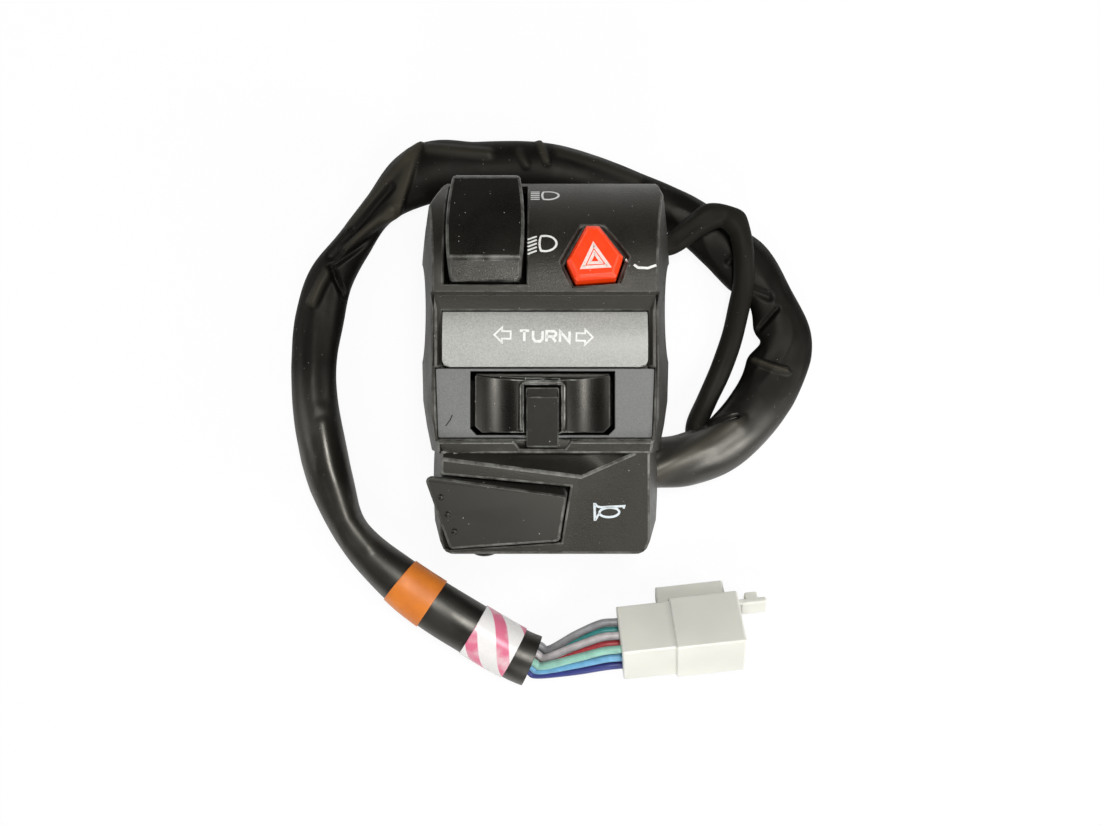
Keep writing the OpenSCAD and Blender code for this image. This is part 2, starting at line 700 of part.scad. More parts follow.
module dimmer_contacts() {
    color([0.8, 0.65, 0.3]) at_dimmer() for (y = [-1.6, 1.6])
        translate([-1.5, y - 1.2, dimmer_seat + base_t]) cube([3, 2.4, 0.4]);
}

// Hazard, in its tilted frame
module hazard_button() {
    color([1, 0.25, 0]) at_hazard() {
        difference() {
            union() {
                translate([0, 0, -hazard_skirt]) linear_extrude(hazard_skirt + hazard_proud - 0.8) hazard_outline(0);
                translate([0, 0, hazard_proud - 0.8 - EPS]) linear_extrude(0.8 + EPS, scale = 0.86) hazard_outline(0);
            }
            translate([0, 0, -hazard_skirt - 1]) linear_extrude(hazard_skirt + 1.2) hazard_outline(-1.7);
        }
        translate([0, 0, -9.5]) cylinder(r = hazard_stem_r, h = 9.9);
    }
}

module hazard_spring() {
    color([0.7, 0.7, 0.7]) at_hazard() translate([0, 0, hazard_body_top + 0.03]) coil(hazard_stem_r + 0.3 + spring_wire / 2, 7.72, 4.5);
}

module hazard_switch_body() {
    color([0.85, 0.83, 0.76]) at_hazard() difference() {
        translate([-4.7, -3.9, hazard_seat]) cube([9.4, 8.5, hazard_body_top - hazard_seat]);
        translate([0, 0, hazard_seat + 0.3]) cylinder(r = hazard_stem_r + 2 * pin_gap, h = 10);
    }
}

module hazard_contacts() {
    color([0.8, 0.65, 0.3]) at_hazard() for (s = [-1, 1])
        translate([s * 5 - 0.3, -1.2, hazard_seat + 0.8]) cube([0.6, 2.4, 3]);
}

// Turn switch, in a frame at its pivot
module at_turn() translate([turn_x, turn_y, turn_pivot_z]) children();
wing_top = bezel_z - turn_pivot_z;
ear_y = [3, 4.6];
hub_half = 5.5;
stem_half = 2.4;
slot_floor = 2.9;

module turn_rocker() {
    depth = wing_depth / 2;
    scoop_r = 9;
    edge_r = 90;
    color([0.08, 0.078, 0.07]) at_turn() difference() {
        union() {
            difference() {
                translate([0, 0, 1]) linear_extrude(wing_top - 1) window_outline(1, run_gap);
                for (s = [-1, 1]) translate([s * 8.8, 0, wing_top - 1.7 + scoop_r]) rotate([90, 0, 0])
                    cylinder(r = scoop_r, h = 40, center = true, $fn = 96);
            }
            translate([-hub_half, -depth, -4]) cube([2 * hub_half, 2 * depth, 6]);
            translate([0, 2.2 - depth / 2, 0]) linear_extrude(wing_top + 0.7) round_rect(9.2, depth + 4.4, 1.3);
        }
        translate([0, depth - 1.4 + edge_r, 2]) cylinder(r = edge_r, h = 40, $fn = 240);
        translate([-knob_half - 0.5, -depth - 1, slot_floor]) cube([2 * knob_half + 1, depth + 1 + 3.6, 20]);
        translate([-stem_half - pin_gap, -stem_half - pin_gap, -20])
            cube([2 * (stem_half + pin_gap), 2 * (stem_half + pin_gap), 40]);
        for (s = [-1, 1]) translate([-3.3, s * (ear_y[0] + ear_y[1]) / 2 - 1.1, -20]) cube([6.6, 2.2, 22.6]);
        rotate([90, 0, 0]) cylinder(d = pin_d + 2 * pin_gap, h = 40, center = true);
    }
}

module turn_pins() {
    color([0.75, 0.75, 0.75]) at_turn() for (s = [-1, 1])
        translate([0, s * (ear_y[0] + 1.5), 0]) rotate([90, 0, 0]) cylinder(d = pin_d, h = 2.8, center = true);
}

module turn_wiper() {
    color([0.8, 0.65, 0.3]) at_turn() for (s = [-1, 1]) translate([s * 4.4 - 0.9, -1.5, -4.7]) cube([1.8, 3, 0.7]);
}

module turn_springs() {
    length = 1 + turn_pivot_z - turn_base_z - base_t - 0.06;
    color([0.7, 0.7, 0.7]) at_turn() for (s = [-1, 1])
        translate([s * 9.6, 0, 1 - 0.03 - length]) coil(2, length, 5);
}

module turn_carrier() {
    color([0.2, 0.2, 0.2]) difference() {
        union() {
            translate([turn_posts[0][0] - 2.3, turn_y - 4.9, turn_base_z])
                cube([turn_posts[1][0] - turn_posts[0][0] + 4.6, 9.8, base_t]);
            at_turn() for (s = [-1, 1]) translate([0, s * (ear_y[0] + ear_y[1]) / 2, 0]) {
                translate([-2.2, -0.8, turn_base_z - turn_pivot_z + 1])
                    cube([4.4, 1.6, turn_pivot_z - turn_base_z - 1]);
                rotate([90, 0, 0]) cylinder(r = 2.2, h = 1.6, center = true);
            }
        }
        at_turn() rotate([90, 0, 0]) cylinder(d = pin_d + 2 * pin_gap, h = 30, center = true);
        for (p = turn_posts) translate([p[0], p[1], 0]) cylinder(d = small_screw_d + 0.2, h = 40);
    }
}

module turn_contacts() {
    color([0.8, 0.65, 0.3]) for (s = [-1, 1])
        translate([turn_x + s * 5.2 - 1, turn_y - 1.5, turn_base_z + base_t]) cube([2, 3, 0.5]);
}

module cancel_knob() {
    head = slot_floor + cancel_travel + 0.3;
    top = knob_top - turn_pivot_z;
    color([0.09, 0.088, 0.08]) at_turn() difference() {
        union() {
            translate([-knob_half - 0.1, -5.6, head]) cube([2 * knob_half + 0.2, 8.7, 1.2]);
            translate([-knob_half, -6, head]) cube([2 * knob_half, 7.3, top - head]);
            translate([-knob_half, -knob_reach, top - 1.8]) cube([2 * knob_half, knob_reach - 4.7, 1.8]);
            translate([-stem_half, -stem_half, -5]) cube([2 * stem_half, 2 * stem_half, 5 + head + EPS]);
        }
        translate([0, 0, -6]) cylinder(r = 1.7, h = 9);
    }
}

module cancel_spring() {
    base = turn_base_z + base_t - turn_pivot_z;
    color([0.7, 0.7, 0.7]) at_turn() translate([0, 0, base + 0.03]) coil(1, 3 - base - 0.06, 7);
}

// Horn
module horn_skirt() {
    difference() {
        translate([-18.8, horn_y - 4.2, lower_z - 4.4]) cube([15, 8.6, 5]);
        translate([-17.4, horn_y - 2.8, lower_z - 5]) cube([15, 5.8, 8]);
    }
}

// An ear round the horn's pivot, with its web from a height upwards
module knuckle(y, from, height) {
    translate([horn_pivot_x - knuckle_r, y, from]) cube([2 * knuckle_r, knuckle_t, height]);
    translate([horn_pivot_x, y + knuckle_t, horn_pivot_z]) rotate([90, 0, 0]) cylinder(r = knuckle_r, h = knuckle_t);
}

module horn_bore() {
    translate([horn_pivot_x, horn_y + 12, horn_pivot_z]) rotate([90, 0, 0]) cylinder(d = pin_d + 2 * pin_gap, h = 30);
}

module horn_paddle() {
    under = lower_z + 0.4;
    color([0.09, 0.088, 0.08]) difference() {
        union() {
            translate([0, 0, under]) linear_extrude(horn_plate) offset(r = 1, $fn = 24) offset(delta = -1)
                polygon(horn_outline);
            horn_skirt();
            for (y = [0.8, -2.3]) knuckle(horn_y + y, horn_pivot_z, under - horn_pivot_z + EPS);
            for (p = horn_dots) translate([p[0], horn_y + p[1], under + horn_plate - horn_dot_d / 3])
                sphere(d = horn_dot_d * 1.2, $fn = 24);
        }
        horn_bore();
        translate([-23, horn_y + 7.8, under + horn_plate]) rotate([0, 0, -8.25]) rotate([-57, 0, 0])
            translate([-BIG / 2, -BIG / 2, 0]) cube(BIG);
    }
}

module horn_pin() {
    color([0.75, 0.75, 0.75]) translate([horn_pivot_x, horn_y + 4.3, horn_pivot_z]) rotate([90, 0, 0])
        cylinder(d = pin_d, h = 8.6);
}

horn_contact_y = [horn_y - 1.4, horn_y + 1.6];
module horn_bridge() {
    color([0.8, 0.65, 0.3]) {
        translate([-16, horn_y - 2.4, lower_z - 0.3]) cube([2, 5, 0.7]);
        for (y = horn_contact_y) translate([-15, y, lower_z - 1.2]) cylinder(r = 0.8, h = 1);
    }
}

module horn_spring() {
    low = horn_base_z + base_t;
    color([0.7, 0.7, 0.7]) translate([horn_spring_at[0], horn_spring_at[1], low + 0.03])
        coil(2.1, lower_z + 0.4 - low - 0.06, 7);
}

module horn_carrier() {
    color([0.2, 0.2, 0.2]) difference() {
        union() {
            translate([-17, horn_y - 6, horn_base_z]) cube([horn_posts[0][0] + 17 + 2.6, 12, base_t]);
            for (y = [2.6, -4.1]) knuckle(horn_y + y, horn_base_z + 1, horn_pivot_z - horn_base_z - 1);
        }
        horn_bore();
        for (p = horn_posts) translate([p[0], p[1], 0]) cylinder(d = small_screw_d + 0.2, h = 40);
    }
}

module horn_contacts() {
    color([0.8, 0.65, 0.3]) for (y = horn_contact_y)
        translate([-15, y, horn_base_z + base_t]) cylinder(r = 1, h = lower_z - 3.05 - horn_base_z - base_t);
}

// Harness
module gland(at, r, bore, length) {
    translate(at) rotate([0, 90, 0]) difference() {
        cylinder(r = r, h = length);
        translate([0, 0, -1]) cylinder(r = bore, h = length + 2);
    }
}

module harness_gland() color([0.12, 0.12, 0.12]) gland([lower_base_w / 2 - 8.5, exit_y, exit_z], 6.9, 4, 3.2);
module branch_gland() color([0.12, 0.12, 0.12]) gland([base_w / 2 - 8.7, branch_y, branch_z], 3.2, 1.4, 3.2);

function rings_of(route, from, to, step) = [for (u = [from:step:to]) route_at(route, u)];
function grown(rings, by) = [for (r = rings) [r[0], r[1], r[2], r[3] + by, r[4] + by]];

module main_sleeve() {
    size = sleeve_d / 11.5;
    rings = rings_of(sleeve_route, 0, len(sleeve_route) - 1, 0.5);
    color([0.1, 0.1, 0.1]) oval_tube([for (r = rings) [r[0], r[1], r[2], r[3] * size, r[4] * size]], 12);
}

module branch_sleeve() {
    size = branch_d / 4.6;
    rings = rings_of(branch_route, 0, len(branch_route) - 1, 0.5);
    color([0.08, 0.08, 0.08]) oval_tube([for (r = rings) [r[0], r[1], r[2], r[3] * size, r[4] * size]], 8);
}

// A band round the main sleeve between two places on its route
module tape_band(span) {
    size = sleeve_d / 11.5;
    rings = [for (r = rings_of(sleeve_route, span[0], span[1], 0.5)) [r[0], r[1], r[2], r[3] * size, r[4] * size]];
    difference() {
        oval_tube(grown(rings, 0.35), 12);
        oval_tube(longer(grown(rings, 0.05)), 12);
    }
}

function pushed(r, t, by) = [r[0] + t[0] * by, r[1] + t[1] * by, r[2] + t[2] * by, r[3], r[4]];
function longer(rings) = let (n = len(rings) - 1)
    concat([pushed(rings[0], way(rings, 0), -0.5)], [for (i = [1:n - 1]) rings[i]], [pushed(rings[n], way(rings, n), 0.5)]);

module orange_tape() color([0.9, 0.35, 0.05]) tape_band(orange_span);
module marker_tape() color([0.9, 0.9, 0.88]) tape_band(marker_span);

// Connector, in a frame at the centre of its wire end
module at_connector() translate(connector_at) rotate([0, 0, connector_turn]) rotate([connector_roll, 0, 0]) children();
pin_spots = [for (row = [-1:1], col = [-1:1]) [row * pin_pitch, col * pin_pitch]];
wire_depth = 4;
floor_x = connector_l - mouth_depth;

module connector_housing() {
    side = shroud_w / 2;
    color([0.8, 0.8, 0.76]) at_connector() difference() {
        union() {
            translate([0, -rear_w / 2, -rear_w / 2]) cube([connector_l - 5, rear_w, rear_w]);
            translate([connector_l - shroud_l, -side, -side]) cube([shroud_l, shroud_w, shroud_w]);
            difference() {
                translate([9.5, side - 1, -1.2]) cube([15.5, 5.4, side - 0.8]);
                translate([9, side + 1.2, 0]) cube([17, 2.2, side - 3.2]);
            }
            translate([24, side - 1.2, -2.7]) cube([10.4, 1.6, side - 1.8]);
            translate([29.6, side - 1.2, -2.7]) cube([3, 3.2, side - 1.8]);
        }
        translate([floor_x, -mouth_w / 2, -mouth_w / 2]) cube([mouth_depth + 1, mouth_w, mouth_w]);
        for (p = pin_spots) translate([0, p[0], p[1]]) {
            translate([-1, 0, 0]) rotate([0, 90, 0]) cylinder(d = wire_d + 0.3, h = wire_depth + 1);
            translate([wire_depth - 1, -1.05, -0.35]) cube([floor_x, 2.1, 0.7]);
        }
    }
}

module connector_terminals() {
    color([0.8, 0.7, 0.4]) at_connector() for (p = pin_spots)
        translate([wire_depth + 0.2, p[0] - 1, p[1] - 0.3]) cube([floor_x + 6 - wire_depth, 2, 0.6]);
}

// Wires from inside the sleeve's end to the connector, one for each terminal
sleeve_end = place(sleeve_route[len(sleeve_route) - 1]);
sleeve_way = [0.91, -0.415, 0];
sleeve_side = [0.415, 0.91, 0];
bundle_pitch = 2.3;
bundle_shift = 0.8;
function turned(p, a) = [p[0], p[1] * cos(a) - p[2] * sin(a), p[1] * sin(a) + p[2] * cos(a)];
function spun(p, a) = [p[0] * cos(a) - p[1] * sin(a), p[0] * sin(a) + p[1] * cos(a), p[2]];
function in_connector(p) = connector_at + spun(turned(p, connector_roll), connector_turn);
function in_sleeve(along, across, up) = sleeve_end + sleeve_way * along
    + sleeve_side * (across + bundle_shift) + [0, 0, up];
function wire_route(i) =
    let (p = pin_spots[i], q = turned([0, p[0], p[1]], connector_roll) * bundle_pitch / pin_pitch, r = wire_d / 2)
    [for (v = [
        in_sleeve(-7, q[1], q[2]), in_sleeve(0, q[1], q[2]), in_sleeve(2.5, q[1], q[2]),
        in_sleeve(4, q[1], q[2]) * 0.35 + in_connector([-7, p[0], p[1]]) * 0.65,
        in_connector([-4, p[0], p[1]]), in_connector([-0.5, p[0], p[1]]), in_connector([wire_depth - 0.3, p[0], p[1]])
    ]) [v[0], v[1], v[2], r, r]];

module wires() {
    color([0.3, 0.6, 0.6]) for (i = [0:WIRE_COUNT - 1])
        oval_tube(rings_of(wire_route(i), 0, 6, 0.5), 8);
}

front_housing();
rear_housing();
legend_panel();
turn_bezel();
housing_screws();
carrier_screws();
dimmer_rocker();
dimmer_pin();
dimmer_plunger();
dimmer_spring();
dimmer_carrier();
dimmer_contacts();
hazard_button();
hazard_spring();
hazard_switch_body();
hazard_contacts();
turn_rocker();
turn_pins();
turn_wiper();
turn_springs();
turn_carrier();
turn_contacts();
cancel_knob();
cancel_spring();
horn_paddle();
horn_pin();
horn_bridge();
horn_spring();
horn_carrier();
horn_contacts();
harness_gland();
branch_gland();
main_sleeve();
branch_sleeve();
orange_tape();
marker_tape();
wires();
connector_housing();
connector_terminals();
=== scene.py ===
"""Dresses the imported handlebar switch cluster: finishes, harness, printed signs and a studio stage."""

import math

import bmesh
import bpy
from bpy.props import FloatProperty, FloatVectorProperty, IntProperty, PointerProperty
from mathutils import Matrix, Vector, noise
from mathutils.bvhtree import BVHTree


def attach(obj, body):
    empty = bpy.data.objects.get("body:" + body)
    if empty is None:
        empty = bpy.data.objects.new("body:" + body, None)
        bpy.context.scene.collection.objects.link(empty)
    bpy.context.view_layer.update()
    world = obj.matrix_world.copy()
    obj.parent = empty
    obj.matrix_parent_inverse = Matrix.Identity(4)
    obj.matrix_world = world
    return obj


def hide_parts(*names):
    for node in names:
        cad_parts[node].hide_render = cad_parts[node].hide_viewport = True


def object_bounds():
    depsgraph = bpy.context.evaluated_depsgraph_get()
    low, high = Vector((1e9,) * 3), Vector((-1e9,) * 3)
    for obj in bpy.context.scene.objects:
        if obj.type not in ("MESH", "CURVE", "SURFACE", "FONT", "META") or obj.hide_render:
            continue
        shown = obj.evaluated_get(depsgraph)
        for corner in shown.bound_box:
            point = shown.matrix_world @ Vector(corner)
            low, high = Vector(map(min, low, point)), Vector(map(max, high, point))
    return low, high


bl_info = {
    "name": "Handlebar switch cluster",
    "version": (1, 0, 0),
    "blender": (4, 5, 0),
    "location": "View3D > Sidebar > Switch",
    "description": "Finishes, wiring harness and studio stage of a handlebar switch cluster",
    "category": "Object",
}

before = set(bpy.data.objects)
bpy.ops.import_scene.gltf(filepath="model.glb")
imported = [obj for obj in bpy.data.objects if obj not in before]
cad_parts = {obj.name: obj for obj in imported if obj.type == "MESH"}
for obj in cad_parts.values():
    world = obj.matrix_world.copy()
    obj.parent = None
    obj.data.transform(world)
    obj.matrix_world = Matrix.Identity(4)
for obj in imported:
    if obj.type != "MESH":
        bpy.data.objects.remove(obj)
CAD_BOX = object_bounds()
FLOOR_Z = CAD_BOX[0].z
MM = 0.001

# A ring of a sleeve holds its length so far at this place
RING_LENGTH = 6
# Soft pieces stay this far above the floor, in millimetres
FLOOR_GAP = 0.02

# Routes of the harness, each point x, y, z, half width and half thickness in millimetres
SLEEVE_ROUTE = [
    (19.5, -32.7, -8.6, 5.7, 5.7),
    (25.5, -32.7, -8.7, 5.7, 5.7),
    (32, -32, -10, 6, 5.7),
    (40, -28.8, -12, 6.2, 5.6),
    (47.5, -21.6, -13.6, 6.5, 4.8),
    (53, -12.5, -15.1, 6.6, 3.3),
    (55, -4, -15.2, 6.2, 3.2),
    (51.8, 4.6, -15.2, 5.3, 3.2),
    (46.6, 11.8, -15.2, 6.4, 3.2),
    (40, 17.6, -15.2, 5.8, 3.2),
    (32.2, 23.6, -15.2, 5.2, 3.2),
    (22, 28.6, -15.2, 4.8, 3.2),
    (10, 32.4, -14.6, 5.6, 3.8),
    (-2, 34.6, -14, 6.2, 4.4),
    (-16, 34.4, -14, 6.4, 4.4),
    (-27, 33.4, -14, 6.9, 4.4),
    (-37.8, 25.7, -14.4, 3.9, 4),
    (-44.6, 17, -15, 4.2, 3.4),
    (-49.8, 9, -15.1, 5.2, 3.3),
    (-52.2, 0, -15.1, 5.6, 3.3),
    (-53.4, -9, -15.1, 5.2, 3.3),
    (-53.2, -18, -14.6, 5.2, 3.8),
    (-51.8, -27, -14, 5.4, 4.4),
    (-49.6, -36.4, -13.8, 5.2, 4.6),
    (-46.4, -45, -13.8, 4.4, 4.6),
    (-41.6, -52.4, -13.6, 4.4, 4.8),
    (-33.3, -59.8, -12.7, 5.4, 5.2),
    (-26, -65.2, -12.5, 5.9, 5.4),
    (-16.6, -71, -12.4, 6, 5.5),
    (-7.3, -76.4, -12.4, 6, 5.5),
    (-3.2, -78.2, -12.4, 6, 5.5),
]
BRANCH_ROUTE = [
    (34.4, -29, -11, 2.3, 2.2),
    (34.6, -24.4, -13, 2.4, 2.2),
    (37.2, -18.6, -15.2, 2.4, 2.2),
    (40.4, -11.8, -16.2, 2.5, 2.1),
    (43, -4.4, -16, 2.5, 2.1),
    (44.4, 2.4, -13.9, 2.5, 2.1),
    (45, 7.4, -11.4, 2.4, 2.1),
    (45, 11.5, -9.8, 2.4, 2.1),
    (44.6, 16, -8.8, 2.4, 2.1),
    (43.2, 20.4, -8.7, 2.5, 2.1),
    (39.6, 23, -8.6, 2.6, 2.1),
    (34.4, 21, -8.2, 2.7, 2.1),
    (29.2, 17, -6.8, 2.5, 2.2),
    (26.4, 15.8, -5.6, 2.3, 2.3),
    (22, 15.8, -5.6, 2.3, 2.3),
]
SLEEVE_D = 11.5
SLEEVE_WALL = 0.6
ORANGE_SPAN = (26, 27)
MARKER_SPAN = (28, 29)
TAPE_UNDER = 0.05
TAPE_OVER = 0.3

# How deep the sleeve is creased, by place on its route
CREASES = [
    (0, 0.0),
    (2, 0.03),
    (3.4, 0.1),
    (5, 0.3),
    (9, 0.24),
    (12, 0.08),
    (15, 0.05),
    (17, 0.06),
    (21, 0.08),
    (24, 0.1),
    (25.6, 0.07),
    (27, 0.04),
    (30, 0.05),
]
# Listed folds: place on the route, its span, angle round the sleeve, its spread, height
SLEEVE_FOLDS = [
    (15.5, 0.5, 180, 48, 0.9),
    (24.3, 0.5, 0, 40, -0.6),
    (5.1, 0.32, 8, 34, 0.8),
    (5.8, 0.3, 0, 30, -0.9),
    (6.5, 0.34, 6, 30, 0.8),
    (7.3, 0.4, 0, 34, -0.8),
]
BRANCH_FOLDS = [
    (9.3, 0.4, 180, 42, 0.9),
    (10.5, 0.45, 165, 46, 0.8),
    (9.9, 0.4, 90, 60, -0.5),
    (11.9, 1.1, 126, 15, 0.45),
    (11.6, 1.2, 84, 18, -0.4),
]
# Folds seen from above: a line of x and y in millimetres, its spread to left and right, its height
PLEATS = [
    ([(-28.4, 39.9), (-31, 31), (-34.2, 22.3)], 0.7, 4.0, 0.9),
    ([(-31.3, 37.1), (-38, 29), (-44.1, 21.4)], 1.8, 2.6, 0.6),
    ([(-35, 29.8), (-42, 22), (-48.9, 14.3)], 1.7, 1.7, -0.8),
    ([(-35.2, 24.1), (-40.5, 20.5), (-45.9, 16.4)], 1.5, 1.8, 0.7),
    ([(-38.2, 19.6), (-43.6, 15.4), (-49.1, 11.8)], 1.0, 1.2, -0.7),
    ([(-49.1, 11.8), (-47.3, 8.2), (-45.9, 5.2)], 1.1, 1.3, -1.0),
    ([(-49.4, 11.2), (-51.6, 7.5), (-53.4, 3.9)], 2.2, 2.0, 0.8),
    ([(-49, 9.5), (-50.5, 2), (-50.8, -8), (-50.5, -18)], 3, 3, -0.4),
    ([(-50.5, -24), (-48.6, -34), (-44.8, -45.5), (-40, -51.5)], 2.4, 2.4, 0.35),
    ([(-26.5, 38.6), (-19, 38), (-13, 37.4)], 2.0, 1.8, 0.6),
    ([(-1.3, 40.5), (-0.5, 38), (0.5, 35.5)], 0.8, 1.6, 0.8),
    ([(-6, 37.6), (-4.4, 34.6)], 1.6, 1.4, 0.4),
    ([(3, 38.2), (12, 35.6), (21, 32)], 1.8, 1.8, 0.4),
    ([(30.4, -26), (36.7, -23.9), (43.1, -22.3)], 0.7, 0.9, -1.5),
    ([(24.5, -34.6), (33.9, -29), (42.4, -23.6)], 2.8, 4.0, 0.9),
    ([(47.9, -9.1), (51.5, -10.6), (55, -11.6)], 0.8, 1.6, 0.7),
    ([(48.6, -2.4), (52.7, 2.3)], 0.8, 1.2, -0.8),
    ([(46, 7), (51, 5)], 1.6, 1.6, -0.5),
    ([(42, 13), (46.5, 16.5)], 1.5, 1.5, -0.6),
]

# Wires between the sleeve's end and the connector
CONNECTOR_AT = Vector((16.8, -73.6, -9))
CONNECTOR_TURN = math.radians(6.2)
CONNECTOR_ROLL = math.radians(-40)
SLEEVE_END = Vector(SLEEVE_ROUTE[-1][:3])
SLEEVE_WAY = Vector((0.91, -0.415, 0))
SLEEVE_SIDE = Vector((0.415, 0.91, 0))
PIN_PITCH = 3.5
BUNDLE_PITCH = 2.3
BUNDLE_SHIFT = 0.8
WIRE_D = 1.8
WIRE_SIDES = 14
WIRE_STEPS = 10
WIRE_COLOURS = [
    ("indigo", (0.035, 0.045, 0.22)),
    ("sky", (0.16, 0.42, 0.66)),
    ("mint", (0.30, 0.58, 0.47)),
    ("green", (0.05, 0.30, 0.15)),
    ("red", (0.52, 0.05, 0.06)),
    ("pale", (0.62, 0.57, 0.57)),
    ("navy", (0.025, 0.03, 0.09)),
    ("teal", (0.05, 0.33, 0.31)),
    ("grey", (0.33, 0.33, 0.34)),
]

# Tint of what black plastic mirrors, and what rubbed edges with a painted highlight and dust look like on it
BROWN_GLEAM = (1.0, 0.96, 0.86, 1.0)
RUBBED_AND_HIGHLIT_GREY = (0.36, 0.36, 0.33, 1.0)
DUST_GREY = (0.46, 0.45, 0.42, 1.0)

# Places on the caps and shells where edges are broken, or rubbed and given a painted highlight, in metres
CROWN_BACK_Y = 0.026
CROWN_EDGE_Y = 0.027
CROWN_EDGE_Z = 0.005
RIDGE_Y = (-0.037, -0.0262)
RIDGE_Z = 0.02
LOWER_BLOCK_Y = -0.04
LOWER_BLOCK_RIM_Z = 0.0145
SHELL_RIM_Z = 0.0125
HUB_X = -0.0005
HUB_HALF = 0.0065
ROCKER_RIM_Z = 0.0248
ROCKER_RIM_SLOPE = -0.435

# Soft lamps: name, place, size and power
LAMPS = [
    ("top", (0.06, 0.06, 0.5), 0.1, 1.4),
    ("front", (0.02, -0.41, 0.3), 0.1, 0.7),
    ("left", (-0.4, 0.06, 0.24), 0.2, 0.5),
    ("right", (0.36, -0.16, 0.3), 0.18, 1.1),
]
LAMP_AIM = Vector((0, -0.02, 0))

# The floor's half side, its drop under the part in metres, and how much of it glows for the camera
FLOOR_HALF = 3.0
FLOOR_DROP = 0.0001
FLOOR_GLOW = 0.92
# What the world gives to rays that are no mirror image
SOFT_LIGHT = 0.2

# Crown of the top block, where the two beam signs are printed
CROWN_R = 23.7
CROWN_Y = 4.6

# Paint: its lift and depth in millimetres, and the height it is dropped from in metres
PAINT_LIFT = 0.02
PAINT_DEPTH = 0.03
DROP_Z = 0.06


def colour_setting(name, what, default):
    """A colour that the user may set."""
    return FloatVectorProperty(name=name, description=what, default=default, subtype="COLOR")


class SwitchCamera(bpy.types.PropertyGroup):
    """Where the picture is taken from."""

    place: FloatVectorProperty(
        name="Place",
        description="Where the camera stands, straight above the switch",
        default=(0.001, -0.0214, 0.285),
        subtype="TRANSLATION",
        unit="LENGTH",
    )
    lens: FloatProperty(
        name="Lens",
        description="Focal length in millimetres on a 36 mm sensor",
        default=42.545,
        unit="CAMERA",
    )


class SwitchHarness(bpy.types.PropertyGroup):
    """Fineness and creasing of the sleeves."""

    sides: IntProperty(name="Sides", description="Faces round a sleeve", default=96, min=12)
    steps: IntProperty(name="Steps", description="Rings between two points of a route", default=28, min=2)
    creasing: FloatProperty(
        name="Creasing", description="How strongly the sleeve is creased", default=1.0, subtype="FACTOR"
    )


class SwitchFinish(bpy.types.PropertyGroup):
    """Edges and colours of the moulded pieces."""

    edge: FloatProperty(
        name="Edge", description="Width of a broken moulded edge", default=0.00028, unit="LENGTH", precision=5
    )
    housing: colour_setting("Housing", "Colour of the two shells", (0.0145, 0.0135, 0.0105))
    panel: colour_setting("Panel", "Colour of the legend panel", (0.36, 0.36, 0.335))
    bezel: colour_setting("Bezel", "Colour of the rocker's surround", (0.15, 0.152, 0.145))
    cap: colour_setting("Caps", "Colour of the rockers and the paddle", (0.006, 0.0056, 0.0046))
    hazard: colour_setting("Hazard", "Colour of the hazard button", (0.95, 0.048, 0.002))


# Small helpers for node trees


def plug(tree, value, socket):
    """Links a socket, or sets a plain value."""
    if isinstance(value, bpy.types.NodeSocket):
        tree.links.new(value, socket)
    else:
        socket.default_value = value


def feed(tree, node, **sockets):
    """Links or sets a node's inputs by name, spaces written as underscores."""
    for key, value in sockets.items():
        plug(tree, value, node.inputs[key.replace("_", " ")])


def add(tree, kind, settings=None, **sockets):
    """A new node with its settings and inputs."""
    made = tree.nodes.new(kind)
    for key, value in (settings or {}).items():
        setattr(made, key, value)
    feed(tree, made, **sockets)
    return made


def maths(tree, operation, a, b):
    """One sum on two values."""
    made = tree.nodes.new("ShaderNodeMath")
    made.operation = operation
    plug(tree, a, made.inputs[0])
    plug(tree, b, made.inputs[1])
    return made.outputs[0]


def times(tree, a, b):
    """One value times another."""
    return maths(tree, "MULTIPLY", a, b)


def summed(tree, a, a_share, b, b_share):
    """Two values added by their shares."""
    return maths(tree, "ADD", times(tree, a, a_share), times(tree, b, b_share))


def spread(tree, value, low, high, to_low=0.0, to_high=1.0):
    """A value taken from one range to another, held at the ends."""
    made = tree.nodes.new("ShaderNodeMapRange")
    made.clamp = True
    for socket, number in zip(made.inputs[0:5], (value, low, high, to_low, to_high)):
        plug(tree, number, socket)
    return made.outputs[0]


def mixed(tree, factor, a, b):
    """A colour between two colours."""
    made = tree.nodes.new("ShaderNodeMix")
    made.data_type = "RGBA"
    plug(tree, factor, made.inputs[0])
    plug(tree, a, made.inputs[6])
    plug(tree, b, made.inputs[7])
    return made.outputs[2]


def rgba(colour, shade=1.0):
    """A colour with its alpha, made darker or lighter."""
    return (colour[0] * shade, colour[1] * shade, colour[2] * shade, 1.0)


def spots(tree):
    """Object coordinates."""
    return tree.nodes.new("ShaderNodeTexCoord").outputs["Object"]


def cloud(tree, where, scale, detail=3.0, rough=0.5):
    """Soft noise at a scale in lumps for each metre."""
    made = add(tree, "ShaderNodeTexNoise", Vector=where, Scale=scale, Detail=detail, Roughness=rough)
    return made.outputs["Fac"]


def bumped(tree, height, distance, strength):
    """A normal that follows a height."""
    return add(tree, "ShaderNodeBump", Height=height, Distance=distance, Strength=strength).outputs[0]


def attribute(tree, name):
    """A value that the mesh carries."""
    return add(tree, "ShaderNodeAttribute", {"attribute_name": name}).outputs["Fac"]


def flow_map(tree):
    """The map that follows a sleeve's length."""
    return add(tree, "ShaderNodeUVMap", {"uv_map": "flow"}).outputs["UV"]


# Effects that several finishes share


def effect_group(name, inputs, outputs):
    """An empty shader group with named inputs and outputs."""
    group = bpy.data.node_groups.new(name, "ShaderNodeTree")
    for label, value in inputs:
        socket = group.interface.new_socket(name=label, in_out="INPUT", socket_type="NodeSocketFloat")
        socket.default_value = value
    for label, kind in outputs:
        group.interface.new_socket(name=label, in_out="OUTPUT", socket_type=kind)
    return group, group.nodes.new("NodeGroupInput"), group.nodes.new("NodeGroupOutput")


